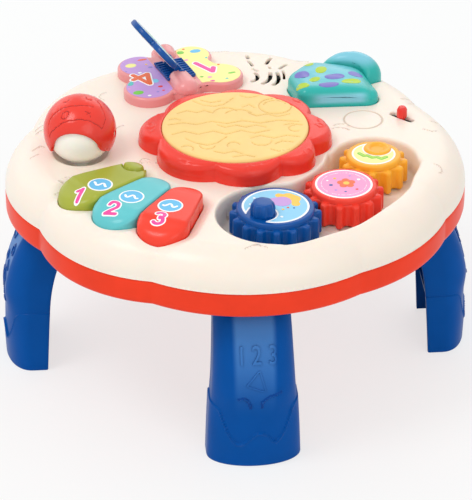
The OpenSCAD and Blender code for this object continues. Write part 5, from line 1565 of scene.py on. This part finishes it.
def floor_material(name, code, glow):
    """Matt floor: where it is seen, part of it is plain white, so that its shadow stays soft."""
    mat, tree, bsdf = material(name)
    bsdf.inputs["Base Color"].default_value = linear(code)
    bsdf.inputs["Roughness"].default_value = 0.9
    bsdf.inputs["Specular IOR Level"].default_value = 0.0
    part = maths(tree, "MULTIPLY", seen_rays(tree), glow)
    blend = node(tree, "MixShader", {0: part, 1: bsdf.outputs[0], 2: node(tree, "Emission").outputs[0]})
    tree.links.new(blend.outputs[0], tree.nodes["Material Output"].inputs[0])
    return mat


bpy.ops.mesh.primitive_plane_add(size=24, location=(0, 0, 0))
floor = bpy.context.object
floor.name = "floor"
floor.data.materials.append(floor_material("floor_white", "#eef1f1", 0.68))

world = bpy.data.worlds.new("studio")
bpy.context.scene.world = world
world.use_nodes = True
tree = world.node_tree
background = tree.nodes["Background"]
background.inputs["Color"].default_value = (1.0, 0.99, 0.98, 1)
tree.links.new(remap(tree, seen_rays(tree), low=0.78), background.inputs["Strength"])


def area_light(name, at, aim, size, power):
    data = bpy.data.lights.new(name, "AREA")
    data.shape = "DISK"
    data.size = size
    data.energy = power
    lamp = bpy.data.objects.new(name, data)
    bpy.context.scene.collection.objects.link(lamp)
    lamp.location = at
    lamp.rotation_euler = (Vector(aim) - Vector(at)).to_track_quat("-Z", "Y").to_euler()


area_light("key_light", (-0.95, -0.45, 1.85), (0, 0, 0.15), 0.8, 10)
area_light("front_light", (0.7, -1.6, 1.1), (0, 0, 0.1), 1.2, 5)
area_light("back_light", (0.7, 1.7, 1.2), (0, 0.1, 0.17), 1.4, 5)
area_light("far_light", (-1.1, 1.4, 1.0), (0, 0.1, 0.17), 1.4, 3.5)

# the photo's camera: degrees and metres, fitted to the table's outline and its four feet
AZIMUTH, ELEVATION, DISTANCE = -4.82, 29.1, 2.5
AIM_DOWN, AIM_LEFT = 1.344, 0.0144
a, e = math.radians(AZIMUTH), math.radians(ELEVATION)
toward = Vector((math.sin(a) * math.cos(e), -math.cos(a) * math.cos(e), math.sin(e)))
camera_data = bpy.data.cameras.new("camera")
camera_data.lens = 228.96
camera_data.sensor_width = 36
camera_data.clip_end = 100
camera = bpy.data.objects.new("camera", camera_data)
bpy.context.scene.collection.objects.link(camera)
camera.matrix_world = (Matrix.Translation(toward * DISTANCE + Vector((0, 0, 0.1505)))
                       @ toward.to_track_quat("Z", "Y").to_matrix().to_4x4()
                       @ spin(-AIM_DOWN, "X") @ spin(-AIM_LEFT, "Y"))
bpy.context.scene.camera = camera

bpy.context.scene.view_settings.view_transform = "Standard"
bpy.context.scene.view_settings.look = "None"

for leftover in ("Cube", "Light", "Camera"):
    if leftover in bpy.data.objects:
        bpy.data.objects.remove(bpy.data.objects[leftover])
